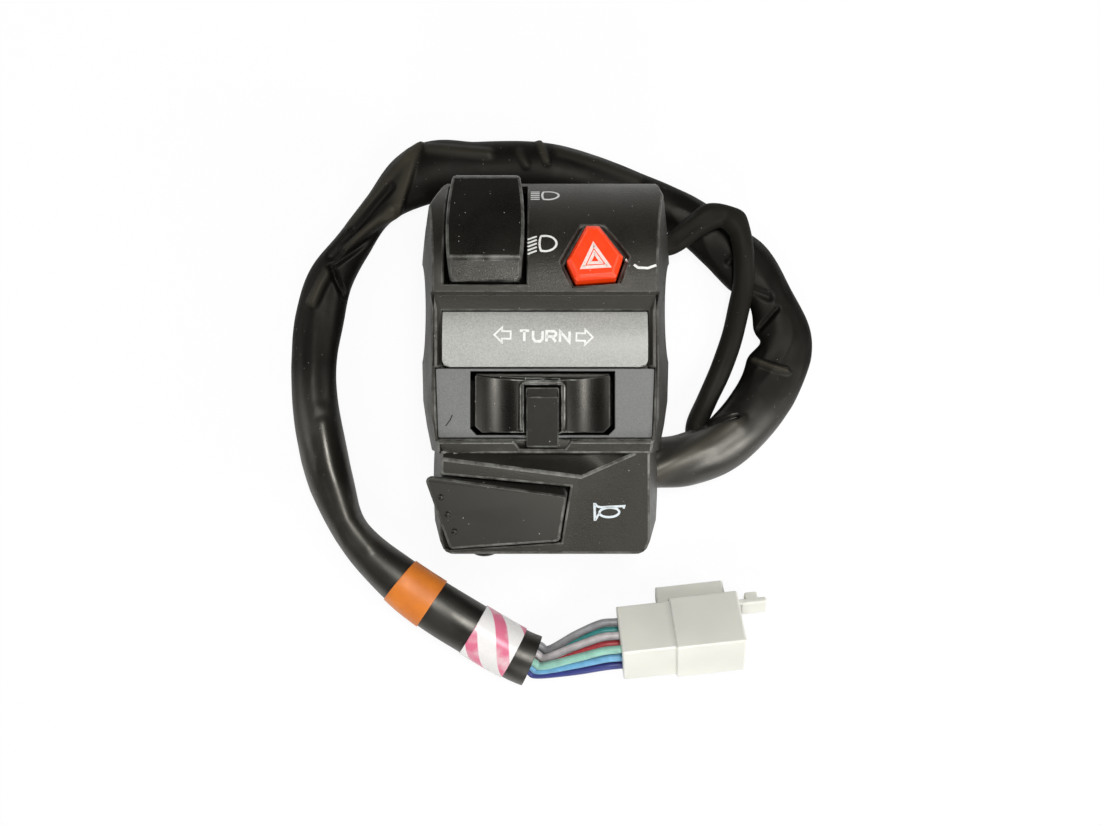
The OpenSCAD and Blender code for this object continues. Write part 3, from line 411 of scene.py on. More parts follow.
def moulded_grain_group():
    """The spark-eroded grain of a moulded face: a normal, and a value for gloss and shade."""
    group, given, result = effect_group(
        "moulded_grain",
        [("Scale", 3200.0), ("Depth", 0.00004)],
        [("Normal", "NodeSocketVector"), ("Grain", "NodeSocketFloat")],
    )
    where = spots(group)
    fine = cloud(group, where, given.outputs["Scale"], 2.0, 0.6)
    broad = cloud(group, where, 90.0, 3.0, 0.6)
    height = summed(group, fine, 1.0, broad, 1.5)
    grain = summed(group, fine, 0.6, broad, 0.4)
    feed(group, result, Normal=bumped(group, height, given.outputs["Depth"], 1.0), Grain=grain)
    return group


def dust_group():
    """Small pale specks of dust and short scuffs, as a mask."""
    group, given, result = effect_group(
        "dust_and_scuffs", [("Amount", 1.0), ("Size", 0.11)], [("Mask", "NodeSocketFloat")]
    )
    where = spots(group)
    cells = add(group, "ShaderNodeTexVoronoi", Vector=where, Scale=1000.0, Randomness=1.0)
    chance = add(group, "ShaderNodeSeparateColor", Color=cells.outputs["Color"]).outputs
    reach = times(group, given.outputs["Size"], spread(group, chance[1], 0.0, 1.0, 0.35, 1.0))
    near = maths(group, "LESS_THAN", cells.outputs["Distance"], reach)
    some = spread(group, chance[0], 0.76, 0.78)
    specks = times(group, near, some)
    stretched = add(
        group, "ShaderNodeMapping", Vector=where, Scale=(260.0, 1500.0, 700.0), Rotation=(0.2, 0.1, 0.5)
    )
    lines = spread(group, cloud(group, stretched.outputs[0], 1.0, 1.0), 0.74, 0.80)
    patch = spread(group, cloud(group, where, 130.0), 0.52, 0.68)
    scuffs = times(group, times(group, lines, patch), 0.35)
    mask = times(group, maths(group, "MAXIMUM", specks, scuffs), given.outputs["Amount"])
    feed(group, result, Mask=mask)
    return group


def worn_and_highlit_edge_group():
    """Where a broken edge is rubbed pale and carries a painted highlight, from the edge attribute of the
    mesh.
    """
    group, given, result = effect_group("worn_and_highlit_edges", [("Amount", 1.0)], [("Mask", "NodeSocketFloat")])
    edge = attribute(group, "edge")
    lightened = spread(group, cloud(group, spots(group), 320.0, 4.0, 0.65), 0.38, 0.66, 0.15, 1.0)
    mask = times(group, times(group, edge, lightened), given.outputs["Amount"])
    feed(group, result, Mask=mask)
    return group


EFFECTS = {}


def effect(tree, maker, **sockets):
    """What a shared effect gives in a material's tree. Its group is made once."""
    if maker not in EFFECTS:
        EFFECTS[maker] = maker()
    return add(tree, "ShaderNodeGroup", {"node_tree": EFFECTS[maker]}, **sockets).outputs


# Finishes: each gives what goes into its shader


def moulded(tree, colour, gloss, gleam, wear_and_highlight, dust, grain_scale, grain_depth):
    """Moulded plastic: grain, dust, and rubbed edges with a painted highlight."""
    grain = effect(tree, moulded_grain_group, Scale=grain_scale, Depth=grain_depth)
    specks = effect(tree, dust_group, Amount=dust)["Mask"]
    edges = effect(tree, worn_and_highlit_edge_group, Amount=wear_and_highlight)["Mask"]
    lumps = spread(tree, grain["Grain"], 0.36, 0.64)
    shade = mixed(tree, lumps, rgba(colour, 0.72), rgba(colour, 1.32))
    # Broken edges turn pale grey, partly rubbed wear and partly a painted highlight on the rounded edges
    lightened = mixed(tree, edges, shade, RUBBED_AND_HIGHLIT_GREY)
    return {
        "Base_Color": mixed(tree, specks, lightened, DUST_GREY),
        "Roughness": spread(tree, grain["Grain"], 0.35, 0.65, gloss - 0.08, gloss + 0.1),
        "Normal": grain["Normal"],
        "Specular_IOR_Level": gleam,
        "Specular_Tint": BROWN_GLEAM,
    }


def satin_paint(tree, colour, gloss):
    """Silver-grey satin paint with fine flakes."""
    where = spots(tree)
    flakes = add(tree, "ShaderNodeTexVoronoi", Vector=where, Scale=5200.0).outputs["Color"]
    glint = add(tree, "ShaderNodeSeparateColor", Color=flakes).outputs[0]
    shade = summed(tree, glint, 0.7, cloud(tree, where, 140.0, 4.0, 0.6), 0.5)
    tone = mixed(tree, spread(tree, shade, 0.2, 1.0), rgba(colour, 0.8), rgba(colour, 1.2))
    # Broken edges are lighter, partly rubbed wear and partly a painted highlight
    edges = effect(tree, worn_and_highlit_edge_group, Amount=0.5)["Mask"]
    lightened = mixed(tree, edges, tone, rgba(colour, 1.7))
    specks = effect(tree, dust_group, Amount=0.5, Size=0.1)["Mask"]
    return {
        "Base_Color": mixed(tree, specks, lightened, (0.6, 0.6, 0.58, 1.0)),
        "Roughness": spread(tree, shade, 0.2, 1.0, gloss - 0.06, gloss + 0.1),
        "Normal": bumped(tree, shade, 0.00002, 0.6),
        "Specular_IOR_Level": 0.4,
    }


def red_lens(tree, colour):
    """The button's bright red moulding, with a little depth."""
    where = spots(tree)
    tone = mixed(tree, cloud(tree, where, 260.0, 4.0), rgba(colour, 0.88), rgba(colour, 1.12))
    specks = effect(tree, dust_group, Amount=0.6, Size=0.12)["Mask"]
    # Broken edges are paler, partly rubbed wear and partly a painted highlight
    edges = effect(tree, worn_and_highlit_edge_group, Amount=0.35)["Mask"]
    lightened = mixed(tree, edges, tone, (0.95, 0.35, 0.22, 1.0))
    return {
        "Base_Color": mixed(tree, specks, lightened, (0.7, 0.62, 0.55, 1.0)),
        "Roughness": spread(tree, cloud(tree, where, 500.0), 0.3, 0.7, 0.3, 0.44),
        "Subsurface_Weight": 0.08,
        "Subsurface_Radius": (0.001, 0.0002, 0.0001),
        "Specular_IOR_Level": 0.35,
    }


def sleeve_vinyl(tree, colour, gloss, gleam):
    """Black vinyl tube, creased lengthwise, dusty where it was handled, with a painted highlight on its
    raised creases, dull along its upper run.
    """
    drawn = add(tree, "ShaderNodeMapping", Vector=flow_map(tree), Scale=(60.0, 900.0, 1.0))
    lines = cloud(tree, drawn.outputs[0], 1.0, 4.0, 0.65)
    patches = cloud(tree, spots(tree), 75.0, 4.0, 0.6)
    dusty = times(tree, spread(tree, patches, 0.5, 0.75), spread(tree, lines, 0.4, 0.7))
    tone = mixed(tree, times(tree, dusty, 0.12), rgba(colour), (0.075, 0.072, 0.06, 1.0))
    # Raised creases are painted browner and lighter: a painted highlight
    painted_crease_highlight = spread(tree, attribute(tree, "painted_crease_highlight"), 0.05, 0.9, 0.0, 0.8)
    lightened = mixed(tree, painted_crease_highlight, tone, (0.05, 0.045, 0.032, 1.0))
    specks = effect(tree, dust_group, Amount=0.35, Size=0.12)["Mask"]
    along_y = add(tree, "ShaderNodeSeparateXYZ", Vector=spots(tree)).outputs["Y"]
    dull = spread(tree, along_y, -0.03, -0.01)
    sheen = spread(tree, patches, 0.35, 0.7, gloss - 0.06, gloss + 0.1)
    return {
        "Base_Color": mixed(tree, specks, lightened, (0.4, 0.39, 0.36, 1.0)),
        "Roughness": summed(tree, sheen, 1.0, dull, 0.1),
        "Specular_IOR_Level": spread(tree, dull, 0.0, 1.0, gleam, gleam * 0.17),
        "Specular_Tint": BROWN_GLEAM,
        "Normal": bumped(tree, summed(tree, lines, 0.5, patches, 2.0), 0.00012, 0.3),
    }


def orange_tape_film(tree):
    """Orange cloth-backed tape, slightly soiled."""
    weave = add(tree, "ShaderNodeTexWave", {"bands_direction": "Y"}, Scale=900.0, Distortion=1.5)
    feed(tree, weave, Vector=flow_map(tree))
    threads = weave.outputs["Fac"]
    soil = cloud(tree, spots(tree), 220.0, 4.0, 0.6)
    tone = mixed(tree, spread(tree, soil, 0.35, 0.7), (0.72, 0.20, 0.018, 1.0), (0.58, 0.15, 0.016, 1.0))
    return {
        "Base_Color": mixed(tree, times(tree, threads, 0.25), tone, (0.8, 0.3, 0.06, 1.0)),
        "Roughness": spread(tree, soil, 0.3, 0.7, 0.34, 0.5),
        "Normal": bumped(tree, threads, 0.00003, 0.5),
    }


def striped_tape_film(tree):
    """White film tape with plain pink slanting stripes."""
    where = spots(tree)
    slanted = add(tree, "ShaderNodeMapping", Vector=flow_map(tree), Rotation=(0.0, 0.0, 0.62)).outputs[0]
    stripes = add(tree, "ShaderNodeTexWave", {"bands_direction": "X"}, Scale=46.0, Distortion=0.5, Detail=1.0)
    feed(tree, stripes, Vector=slanted)
    band = spread(tree, stripes.outputs["Fac"], 0.6, 0.68)
    patch = spread(tree, cloud(tree, where, 260.0, 3.0), 0.3, 0.55, 0.45, 1.0)
    film = mixed(tree, cloud(tree, where, 180.0, 4.0), (0.72, 0.70, 0.68, 1.0), (0.86, 0.84, 0.82, 1.0))
    return {
        "Base_Color": mixed(tree, times(tree, band, patch), film, (0.70, 0.17, 0.27, 1.0)),
        "Roughness": spread(tree, patch, 0.4, 1.0, 0.2, 0.3),
        "Normal": bumped(tree, cloud(tree, where, 420.0), 0.00008, 0.5),
    }


def wire_skin(tree, colour):
    """Soft vinyl insulation with a faint handling grime."""
    grime = cloud(tree, spots(tree), 420.0, 4.0, 0.6)
    return {
        "Base_Color": mixed(tree, spread(tree, grime, 0.4, 0.75), rgba(colour), rgba(colour, 0.7)),
        "Roughness": spread(tree, grime, 0.3, 0.7, 0.34, 0.5),
        "Normal": bumped(tree, grime, 0.00004, 0.5),
    }


def milky_nylon(tree, tint):
    """Natural nylon: milky, a little see-through, cloudy inside."""
    where = spots(tree)
    clouds = spread(tree, cloud(tree, where, 70.0, 2.0, 0.4), 0.3, 0.7)
    # Broken edges are paler, partly rubbed wear and partly a painted highlight
    edges = effect(tree, worn_and_highlit_edge_group, Amount=0.8)["Mask"]
    tone = mixed(tree, clouds, rgba(tint, 0.94), rgba(tint, 1.05))
    return {
        "Base_Color": mixed(tree, edges, tone, (0.86, 0.85, 0.82, 1.0)),
        "Roughness": 0.28,
        "Normal": bumped(tree, cloud(tree, where, 900.0), 0.00002, 0.4),
        "Subsurface_Weight": 0.35,
        "Subsurface_Radius": (0.0016, 0.0015, 0.0012),
    }


def bright_metal(tree, colour, gloss):
    """Drawn or plated metal, with fine drawing lines and small stains."""
    where = spots(tree)
    drawn = add(tree, "ShaderNodeMapping", Vector=where, Scale=(300.0, 2400.0, 2400.0))
    lines = cloud(tree, drawn.outputs[0], 1.0, 3.0)
    stain = spread(tree, cloud(tree, where, 240.0, 4.0), 0.4, 0.75)
    return {
        "Base_Color": mixed(tree, stain, rgba(colour), rgba(colour, 0.62)),
        "Roughness": spread(tree, lines, 0.3, 0.7, gloss - 0.08, gloss + 0.12),
        "Normal": bumped(tree, lines, 0.00001, 0.5),
        "Metallic": 1.0,
    }


def sign_paint(tree, colour):
    """Pad-printed paint, thin and uneven."""
    where = spots(tree)
    uneven = spread(tree, cloud(tree, where, 1500.0, 3.0), 0.3, 0.7)
    return {
        "Base_Color": mixed(tree, uneven, rgba(colour, 0.82), rgba(colour)),
        "Roughness": spread(tree, cloud(tree, where, 700.0), 0.3, 0.7, 0.4, 0.6),
        "Specular_IOR_Level": 0.3,
    }


FINISHES = {}


def finish_of(name):
    """A finish by its plain name, made once with the colours that the user set."""
    if name in FINISHES:
        return FINISHES[name]
    look = bpy.context.scene.switch_finish
    recipes = {
        "shell_black": (moulded, look.housing, 0.44, 0.42, 0.6, 0.6, 3000.0, 0.00005),
        "cap_black": (moulded, look.cap, 0.32, 0.42, 0.6, 1.0, 5200.0, 0.000006),
        "paddle_black": (moulded, look.cap, 0.4, 0.5, 0.6, 1.0, 5200.0, 0.000008),
        "knob_black": (moulded, look.cap, 0.52, 0.26, 0.7, 1.0, 5200.0, 0.000012),
        "carrier_black": (moulded, look.cap, 0.5, 0.3, 0.2, 0.2, 4200.0, 0.00002),
        "rubber_black": (moulded, look.cap, 0.62, 0.25, 0.1, 0.4, 2600.0, 0.00004),
        "panel_satin": (satin_paint, look.panel, 0.4),
        "bezel_satin": (satin_paint, look.bezel, 0.5),
        "hazard_red": (red_lens, look.hazard),
        "sleeve_vinyl": (sleeve_vinyl, (0.0034, 0.0031, 0.0024), 0.4, 1.0),
        "branch_vinyl": (sleeve_vinyl, (0.012, 0.0114, 0.0092), 0.42, 0.5),
        "orange_tape": (orange_tape_film,),
        "striped_tape": (striped_tape_film,),
        "nylon_milky": (milky_nylon, (0.73, 0.725, 0.655)),
        "switch_nylon": (milky_nylon, (0.55, 0.53, 0.46)),
        "zinc_steel": (bright_metal, (0.60, 0.60, 0.58), 0.34),
        "contact_brass": (bright_metal, (0.70, 0.52, 0.22), 0.3),
        "sign_white": (sign_paint, (0.82, 0.82, 0.79)),
        "sign_pale": (sign_paint, (0.66, 0.72, 0.74)),
        "sign_rosy": (sign_paint, (0.90, 0.70, 0.64)),
        "scuff_dark": (sign_paint, (0.012, 0.012, 0.011)),
    }
    for label, colour in WIRE_COLOURS:
        recipes["wire_" + label] = (wire_skin, colour)
    maker, *facts = recipes[name]
    material = bpy.data.materials.new(name)
    material.use_nodes = True
    tree = material.node_tree
    feed(tree, tree.nodes["Principled BSDF"], **maker(tree, *facts))
    FINISHES[name] = material
    return material


# Small helpers for pieces


def new_piece(name, bm, material, body):
    """A finished mesh as a piece that rides a body."""
    mesh = bpy.data.meshes.new(name)
    bm.to_mesh(mesh)
    bm.free()
    return place_mesh(name, mesh, material, body)


def place_mesh(name, mesh, material, body):
    """A mesh as a piece at the origin, with its finish and body."""
    mesh.materials.clear()
    mesh.materials.append(material)
    piece = bpy.data.objects.new(name, mesh)
    bpy.context.scene.collection.objects.link(piece)
    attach(piece, body)
    return piece


def paint_node(node, material):
    """A CAD node keeps its shape and gets a finish."""
    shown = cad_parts[node]
    if not shown.material_slots:
        shown.data.materials.append(material)
    for place in shown.material_slots:
        place.material = material


def even_wear_and_highlight(spot):
    """Edges that are rubbed alike and carry a like painted highlight."""
    return 0.5


def shell_wear_and_highlight(spot):
    """How rubbed an edge of the front shell is, with its painted highlight: most on the crown's back edge,
    then on the ridge.
    """
    if spot.y > CROWN_BACK_Y:
        return 2.4
    if RIDGE_Y[0] < spot.y < RIDGE_Y[1] and spot.z > RIDGE_Z:
        return 0.9
    return 0.4


def hub_wear_and_highlight(spot):
    """How rubbed an edge of the turn rocker is, with its painted highlight: most round the knob."""
    return 2.2 if abs(spot.x - HUB_X) < HUB_HALF else 0.4


def any_edge(spot):
    """Every edge is broken."""
    return True


def shell_rim(spot):
    """Edges of the front shell that are seen from above, and the crown's back edge."""
    lowest = SHELL_RIM_Z if spot.y > LOWER_BLOCK_Y else LOWER_BLOCK_RIM_Z
    return spot.z > lowest or (spot.y > CROWN_EDGE_Y and spot.z > CROWN_EDGE_Z)


def rocker_rim(spot):
    """Edges of the dimmer rocker's cap, clear of its sloping underside."""
    return spot.z > ROCKER_RIM_Z + ROCKER_RIM_SLOPE * spot.y


def broken_edges(node, width, joined, wear_and_highlight, segments, least, chosen):
    """A copy of a CAD node with broken outer edges and an edge mask for rubbed wear and painted highlight.
    Flat faces may be joined first.
    """
    bm = bmesh.new()
    bm.from_mesh(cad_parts[node].data)
    bmesh.ops.remove_doubles(bm, verts=bm.verts, dist=2e-6)
    if joined:
        bmesh.ops.dissolve_limit(bm, angle_limit=math.radians(0.6), verts=bm.verts, edges=bm.edges)
    sharp = []
    for edge in bm.edges:
        if len(edge.link_faces) != 2:
            continue
        middle = (edge.verts[0].co + edge.verts[1].co) / 2
        if edge.calc_face_angle_signed(0.0) > math.radians(least) and chosen(middle):
            sharp.append(edge)
    rounded = bmesh.ops.bevel(
        bm, geom=sharp, offset=width, offset_type="OFFSET", segments=segments, profile=0.5, affect="EDGES",
        clamp_overlap=False, loop_slide=True,
    )
    mask = bm.loops.layers.float.new("edge")
    for face in rounded["faces"]:
        for loop in face.loops:
            loop[mask] = wear_and_highlight(loop.vert.co)
    for face in bm.faces:
        face.smooth = True
    return bm


def dress_node(
    node, finish, body, width, joined=False, wear_and_highlight=even_wear_and_highlight, segments=2, least=22.0, chosen=any_edge
):
    """A CAD node's stand-in with broken edges."""
    bm = broken_edges(node, width, joined, wear_and_highlight, segments, least, chosen)
    piece = new_piece(node + "_dressed", bm, finish_of(finish), body)
    piece.data.set_sharp_from_angle(angle=math.radians(32))
    weighted = piece.modifiers.new("even_shading", "WEIGHTED_NORMAL")
    weighted.keep_sharp = True
    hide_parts(node)
    return piece


# Harness


def spline(p, q, r, s, t):
    """A point on a smooth curve between q and r."""
    square = 2 * p - 5 * q + 4 * r - s
    cube = 3 * q - p - 3 * r + s
    return 0.5 * (2 * q + (r - p) * t + square * t ** 2 + cube * t ** 3)


def route_at(route, u):
    """Centre, half width and half thickness at a place on a route, in millimetres."""
    last = len(route) - 1
    i = min(int(u), last - 1)
    four = [route[max(i - 1, 0)], route[i], route[i + 1], route[min(i + 2, last)]]
    values = [spline(*column, u - i) for column in zip(*four)]
    return Vector(values[:3]), values[3], values[4]


def between(table, u):
    """A value read from a table of places and values."""
    for (u0, v0), (u1, v1) in zip(table, table[1:]):
        if u0 <= u <= u1:
            return v0 + (v1 - v0) * (u - u0) / (u1 - u0)
    return table[-1][1]


def heading(angle):
    """Cosine and sine of an angle."""
    return math.cos(angle), math.sin(angle)


def bell(x):
    """A smooth bump, one in the middle."""
    return math.exp(-x * x)


def fold_height(folds, u, angle):
    """What the listed folds add to a sleeve, in millimetres."""
    total = 0.0
    for at, span, centre, width, height in folds:
        turn = (math.degrees(angle) - centre + 180) % 360 - 180
        total += height * bell((u - at) / span) * bell(turn / width)
    return total


def sleeve_lump(u, angle, length):
    """How far the sleeve's skin stands off its plain oval, in millimetres."""
    c, s = heading(angle)
    long_fold = noise.noise(Vector((length / 24, 1.6 * c, 1.6 * s + 7)))
    slant = 1 - 2 * abs(noise.noise(Vector((length / 9 + 0.6 * c, 1.3 * c + 3, 1.3 * s))))
    fine = noise.noise(Vector((length / 5, 2.0 * c, 2.0 * s + 19)))
    deep = between(CREASES, u) * bpy.context.scene.switch_harness.creasing
    return deep * (0.75 * long_fold + 0.65 * slant + 0.3 * fine) + fold_height(SLEEVE_FOLDS, u, angle)


def branch_lump(u, angle, length):
    """How far the branch's skin stands off its plain oval, in millimetres."""
    c, s = heading(angle)
    soft = noise.noise(Vector((length / 9, 1.1 * c + 31, 1.1 * s)))
    return 0.14 * soft + fold_height(BRANCH_FOLDS, u, angle)


def pleat_height(x, y):
    """What the creases that follow lines add to the top of the sleeve, in millimetres."""
    total = 0.0
    here = Vector((x, y))
    for points, left, right, height in PLEATS:
        gaps = [off_segment(here, Vector(a), Vector(b)) for a, b in zip(points, points[1:])]
        gap = min(gaps, key=abs)
        reach = abs(gap) / (left if gap > 0 else right)
        if reach < 1:
            total += height * 0.5 * (1 + math.cos(math.pi * reach))
    return total


def off_segment(p, a, b):
    """How far a point is from a straight piece of line, less than nothing on its right."""
    way = b - a
    t = min(1.0, max(0.0, (p - a).dot(way) / way.length_squared))
    gap = (p - a - way * t).length
    return gap if way.cross(p - a) > 0 else -gap


def tube_rings(route, first, last, steps):
    """Places on a route with centre, frame, half sizes and length so far."""
    count = round((last - first) * steps)
    rings = []
    length = 0.0
    before = route_at(route, first)[0]
    for k in range(count + 1):
        u = first + (last - first) * k / count
        centre, half_w, half_t = route_at(route, u)
        ahead = route_at(route, min(u + 0.02, len(route) - 1))[0]
        behind = route_at(route, max(u - 0.02, 0))[0]
        way = (ahead - behind).normalized()
        side = Vector((0, 0, 1)).cross(way).normalized()
        length += (centre - before).length
        before = centre
        rings.append((u, centre, side, way.cross(side), half_w, half_t, length))
    return rings


def ring_point(ring, angle, lump, grow):
    """A point of the skin, in metres."""
    u, centre, side, up, half_w, half_t, length = ring
    off = lump(u, angle, length) + grow
    c, s = heading(angle)
    spot = centre + side * (half_w + off) * c + up * (half_t + off) * s
    if s > 0 and lump is sleeve_lump:
        spot += (side * c + up * s) * pleat_height(spot.x, spot.y) * min(1.0, 2 * s)
    spot.z = max(spot.z, FLOOR_Z / MM + FLOOR_GAP)
    return spot * MM


def skin_rows(rings, angles, lump, grow):
    """The points of each ring, with the length so far."""
    return [([ring_point(ring, a, lump, grow) for a in angles], ring[RING_LENGTH]) for ring in rings]


def skin(bm, rows, sides, uv, closed=False):
    """Quads over rows of ring points, with a map that follows the length."""
    made = [[bm.verts.new(point) for point in row] for row, length in rows]
    pairs = list(zip(range(len(made)), range(1, len(made))))
    if closed:
        pairs.append((len(made) - 1, 0))
    for a, b in pairs:
        for k in range(sides):
            n = (k + 1) % sides
            face = bm.faces.new((made[a][k], made[a][n], made[b][n], made[b][k]))
            face.smooth = True
            corners = ((a, k), (a, k + 1), (b, k + 1), (b, k))
            for loop, (row, step) in zip(face.loops, corners):
                loop[uv].uv = (rows[row][1] * MM, step / sides * SLEEVE_D * math.pi * MM)
    return made


def sleeve_mesh(route, lump, steps, sides, end_wall):
    """A creased tube with a closed start, and an open cut end where it has a wall."""
    bm = bmesh.new()
    uv = bm.loops.layers.uv.new("flow")
    painted_crease_highlight = bm.verts.layers.float.new("painted_crease_highlight")
    angles = [2 * math.pi * k / sides for k in range(sides)]
    rings = tube_rings(route, 0, len(route) - 1, steps)
    rows = skin_rows(rings, angles, lump, 0)
    if end_wall:
        inside = rings[-1:-2 * steps:-4]
        rows += skin_rows(inside, angles, lump, -end_wall)
    made = skin(bm, rows, sides, uv)
    # Each point keeps how high its crease stands, for the painted highlight on raised creases
    if lump is sleeve_lump:
        for vert in bm.verts:
            vert[painted_crease_highlight] = max(0.0, pleat_height(vert.co.x / MM, vert.co.y / MM))
    bm.faces.new(made[0][::-1])
    bm.faces.new(made[-1])
    return bm, [ring[1] * MM for ring in rings]


def band_mesh(route, span, lump, steps, sides, low, high):
    """A closed band of tape on a sleeve's skin."""
    bm = bmesh.new()
    uv = bm.loops.layers.uv.new("flow")
    angles = [2 * math.pi * k / sides for k in range(sides)]
    rings = tube_rings(route, span[0], span[1], steps)
    before = tube_rings(route, 0, span[0], steps)[-1][RING_LENGTH]
    rings = [ring[:RING_LENGTH] + (ring[RING_LENGTH] + before,) for ring in rings]
    outer = skin_rows(rings, angles, lump, high)
    inner = skin_rows(rings[::-1], angles, lump, low)
    skin(bm, outer + inner, sides, uv, closed=True)
    return bm


def turned(p, angle):
    """A point turned round X."""
    c, s = heading(angle)
    return Vector((p[0], p[1] * c - p[2] * s, p[1] * s + p[2] * c))


def in_connector(p):
    """A point of the connector's own frame, in the part's frame."""
    q = turned(p, CONNECTOR_ROLL)
    c, s = heading(CONNECTOR_TURN)
    return CONNECTOR_AT + Vector((q[0] * c - q[1] * s, q[0] * s + q[1] * c, q[2]))


def in_sleeve(along, across):
    """A point of the sleeve end's own frame, in the part's frame."""
    aside = SLEEVE_SIDE * (across.y + BUNDLE_SHIFT)
    return SLEEVE_END + SLEEVE_WAY * along + aside + Vector((0, 0, across.z))


def wire_route(index):
    """The points that one wire follows, in millimetres."""
    row = (index // 3 - 1) * PIN_PITCH
    column = (index % 3 - 1) * PIN_PITCH
    across = turned((0, row, column), CONNECTOR_ROLL) * BUNDLE_PITCH / PIN_PITCH
    return [
        in_sleeve(-7, across),
        in_sleeve(0, across),
        in_sleeve(2.5, across),
        in_sleeve(4, across) * 0.35 + in_connector((-7, row, column)) * 0.65,
        in_connector((-4, row, column)),
        in_connector((-0.5, row, column)),
        in_connector((3.7, row, column)),
    ]


def wire_tree():
    """A Geometry Nodes tree that draws a round wire along a line of points."""
    tree = bpy.data.node_groups.new("wire_along_line", "GeometryNodeTree")
    tree.interface.new_socket(name="Line", in_out="INPUT", socket_type="NodeSocketGeometry")
    radius = tree.interface.new_socket(name="Radius", in_out="INPUT", socket_type="NodeSocketFloat")
    sides = tree.interface.new_socket(name="Sides", in_out="INPUT", socket_type="NodeSocketInt")
    skin_socket = tree.interface.new_socket(name="Skin", in_out="INPUT", socket_type="NodeSocketMaterial")
    tree.interface.new_socket(name="Wire", in_out="OUTPUT", socket_type="NodeSocketGeometry")
    given = tree.nodes.new("NodeGroupInput")
    result = tree.nodes.new("NodeGroupOutput")
    line = add(tree, "GeometryNodeMeshToCurve", Mesh=given.outputs["Line"])
    ring = add(
        tree,
        "GeometryNodeCurvePrimitiveCircle",
        Resolution=given.outputs["Sides"],
        Radius=given.outputs["Radius"],
    ).outputs["Curve"]
    tube = add(
        tree, "GeometryNodeCurveToMesh", Curve=line.outputs["Curve"], Profile_Curve=ring, Fill_Caps=True
    )
    smooth = add(tree, "GeometryNodeSetShadeSmooth", Geometry=tube.outputs["Mesh"])
    real = add(tree, "GeometryNodeRealizeInstances", Geometry=smooth.outputs["Geometry"])
    painted = add(tree, "GeometryNodeSetMaterial", Geometry=real.outputs["Geometry"])
    feed(tree, painted, Material=given.outputs["Skin"])
    feed(tree, result, Wire=painted.outputs["Geometry"])
    return tree, radius.identifier, sides.identifier, skin_socket.identifier


def wire_mesh(name, points, tree_facts, material):
    """One wire as a plain mesh, drawn by the tree."""
    tree, radius, sides, skin_socket = tree_facts
    line = bpy.data.meshes.new(name + "_line")
    line.from_pydata(points, [(k, k + 1) for k in range(len(points) - 1)], [])
    carrier = bpy.data.objects.new(name + "_line", line)
    bpy.context.scene.collection.objects.link(carrier)
    drawn = carrier.modifiers.new("wire", "NODES")
    drawn.node_group = tree
    drawn[radius] = WIRE_D / 2 * MM
    drawn[sides] = WIRE_SIDES
    drawn[skin_socket] = material
    depsgraph = bpy.context.evaluated_depsgraph_get()
    mesh = bpy.data.meshes.new_from_object(carrier.evaluated_get(depsgraph), depsgraph=depsgraph)
    carrier.modifiers.remove(drawn)
    bpy.data.objects.remove(carrier)
    bpy.data.meshes.remove(line)
    return mesh


# Printed signs, drawn as ribbons of paint laid on the faces under them


class SignLayer:
    """Ribbons of paint in millimetres, each point dropped on a CAD node's face."""

    def __init__(self, node, place):
        self.bm = bmesh.new()
        self.tree = BVHTree.FromPolygons(
            [v.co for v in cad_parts[node].data.vertices],
            [tuple(p.vertices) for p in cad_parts[node].data.polygons],
        )
        self.place = place

    def drop(self, x, y):
        """A point of the sign on the face under it, a hair above it."""
        px, py = self.place(x, y)
        hit, normal = self.tree.ray_cast(Vector((px * MM, py * MM, DROP_Z)), Vector((0, 0, -1)))[:2]
        if hit is None:
            raise RuntimeError("a printed sign has no face under it")
        return hit + normal * PAINT_LIFT * MM

    def ribbon(self, points, width, closed=False):
        """A line of paint with mitred corners."""
        line = denser([Vector(p).to_2d() for p in points], closed)
        count = len(line)
        left = []
        right = []
        for k, here in enumerate(line):
            back = line[k - 1] if closed or k > 0 else here
            ahead = line[(k + 1) % count] if closed or k < count - 1 else here
            off = mitre(back, here, ahead) * width / 2
            left.append(self.bm.verts.new(self.drop(*(here + off))))
            right.append(self.bm.verts.new(self.drop(*(here - off))))
        for k in range(count if closed else count - 1):
            n = (k + 1) % count
            self.bm.faces.new((left[k], right[k], right[n], left[n]))

    def piece(self, name, finish, body, slot):
        """The sign as a thin solid piece."""
        bmesh.ops.recalc_face_normals(self.bm, faces=self.bm.faces)
        up = sum(face.normal.z for face in self.bm.faces)
        if up < 0:
            bmesh.ops.reverse_faces(self.bm, faces=self.bm.faces)
        piece = new_piece(name, self.bm, finish_of(finish), body)
        thick = piece.modifiers.new("paint_depth", "SOLIDIFY")
        thick.thickness = PAINT_DEPTH * MM
        thick.offset = 0.0
        return piece


def denser(points, closed, step=0.35):
    """The same line with points close together."""
    ends = points + points[:1] if closed else points
    line = []
    for a, b in zip(ends, ends[1:]):
        count = max(1, math.ceil((b - a).length / step))
        line += [a + (b - a) * k / count for k in range(count)]
    return line if closed else line + [points[-1]]


def mitre(back, here, ahead):
    """The sideways direction at a corner, longer where the corner is sharp."""
    before = (here - back).normalized() if (here - back).length > 0 else (ahead - here).normalized()
    after = (ahead - here).normalized() if (ahead - here).length > 0 else before
    side = Vector((-before.y - after.y, before.x + after.x)).normalized()
    return side / max(0.4, side.dot(Vector((-before.y, before.x))))


def oval(cx, cy, rx, ry, start, stop, count=16):
    """Points of a part of an oval, angles in degrees."""
    steps = [math.radians(start + (stop - start) * k / count) for k in range(count + 1)]
    return [(cx + rx * math.cos(a), cy + ry * math.sin(a)) for a in steps]


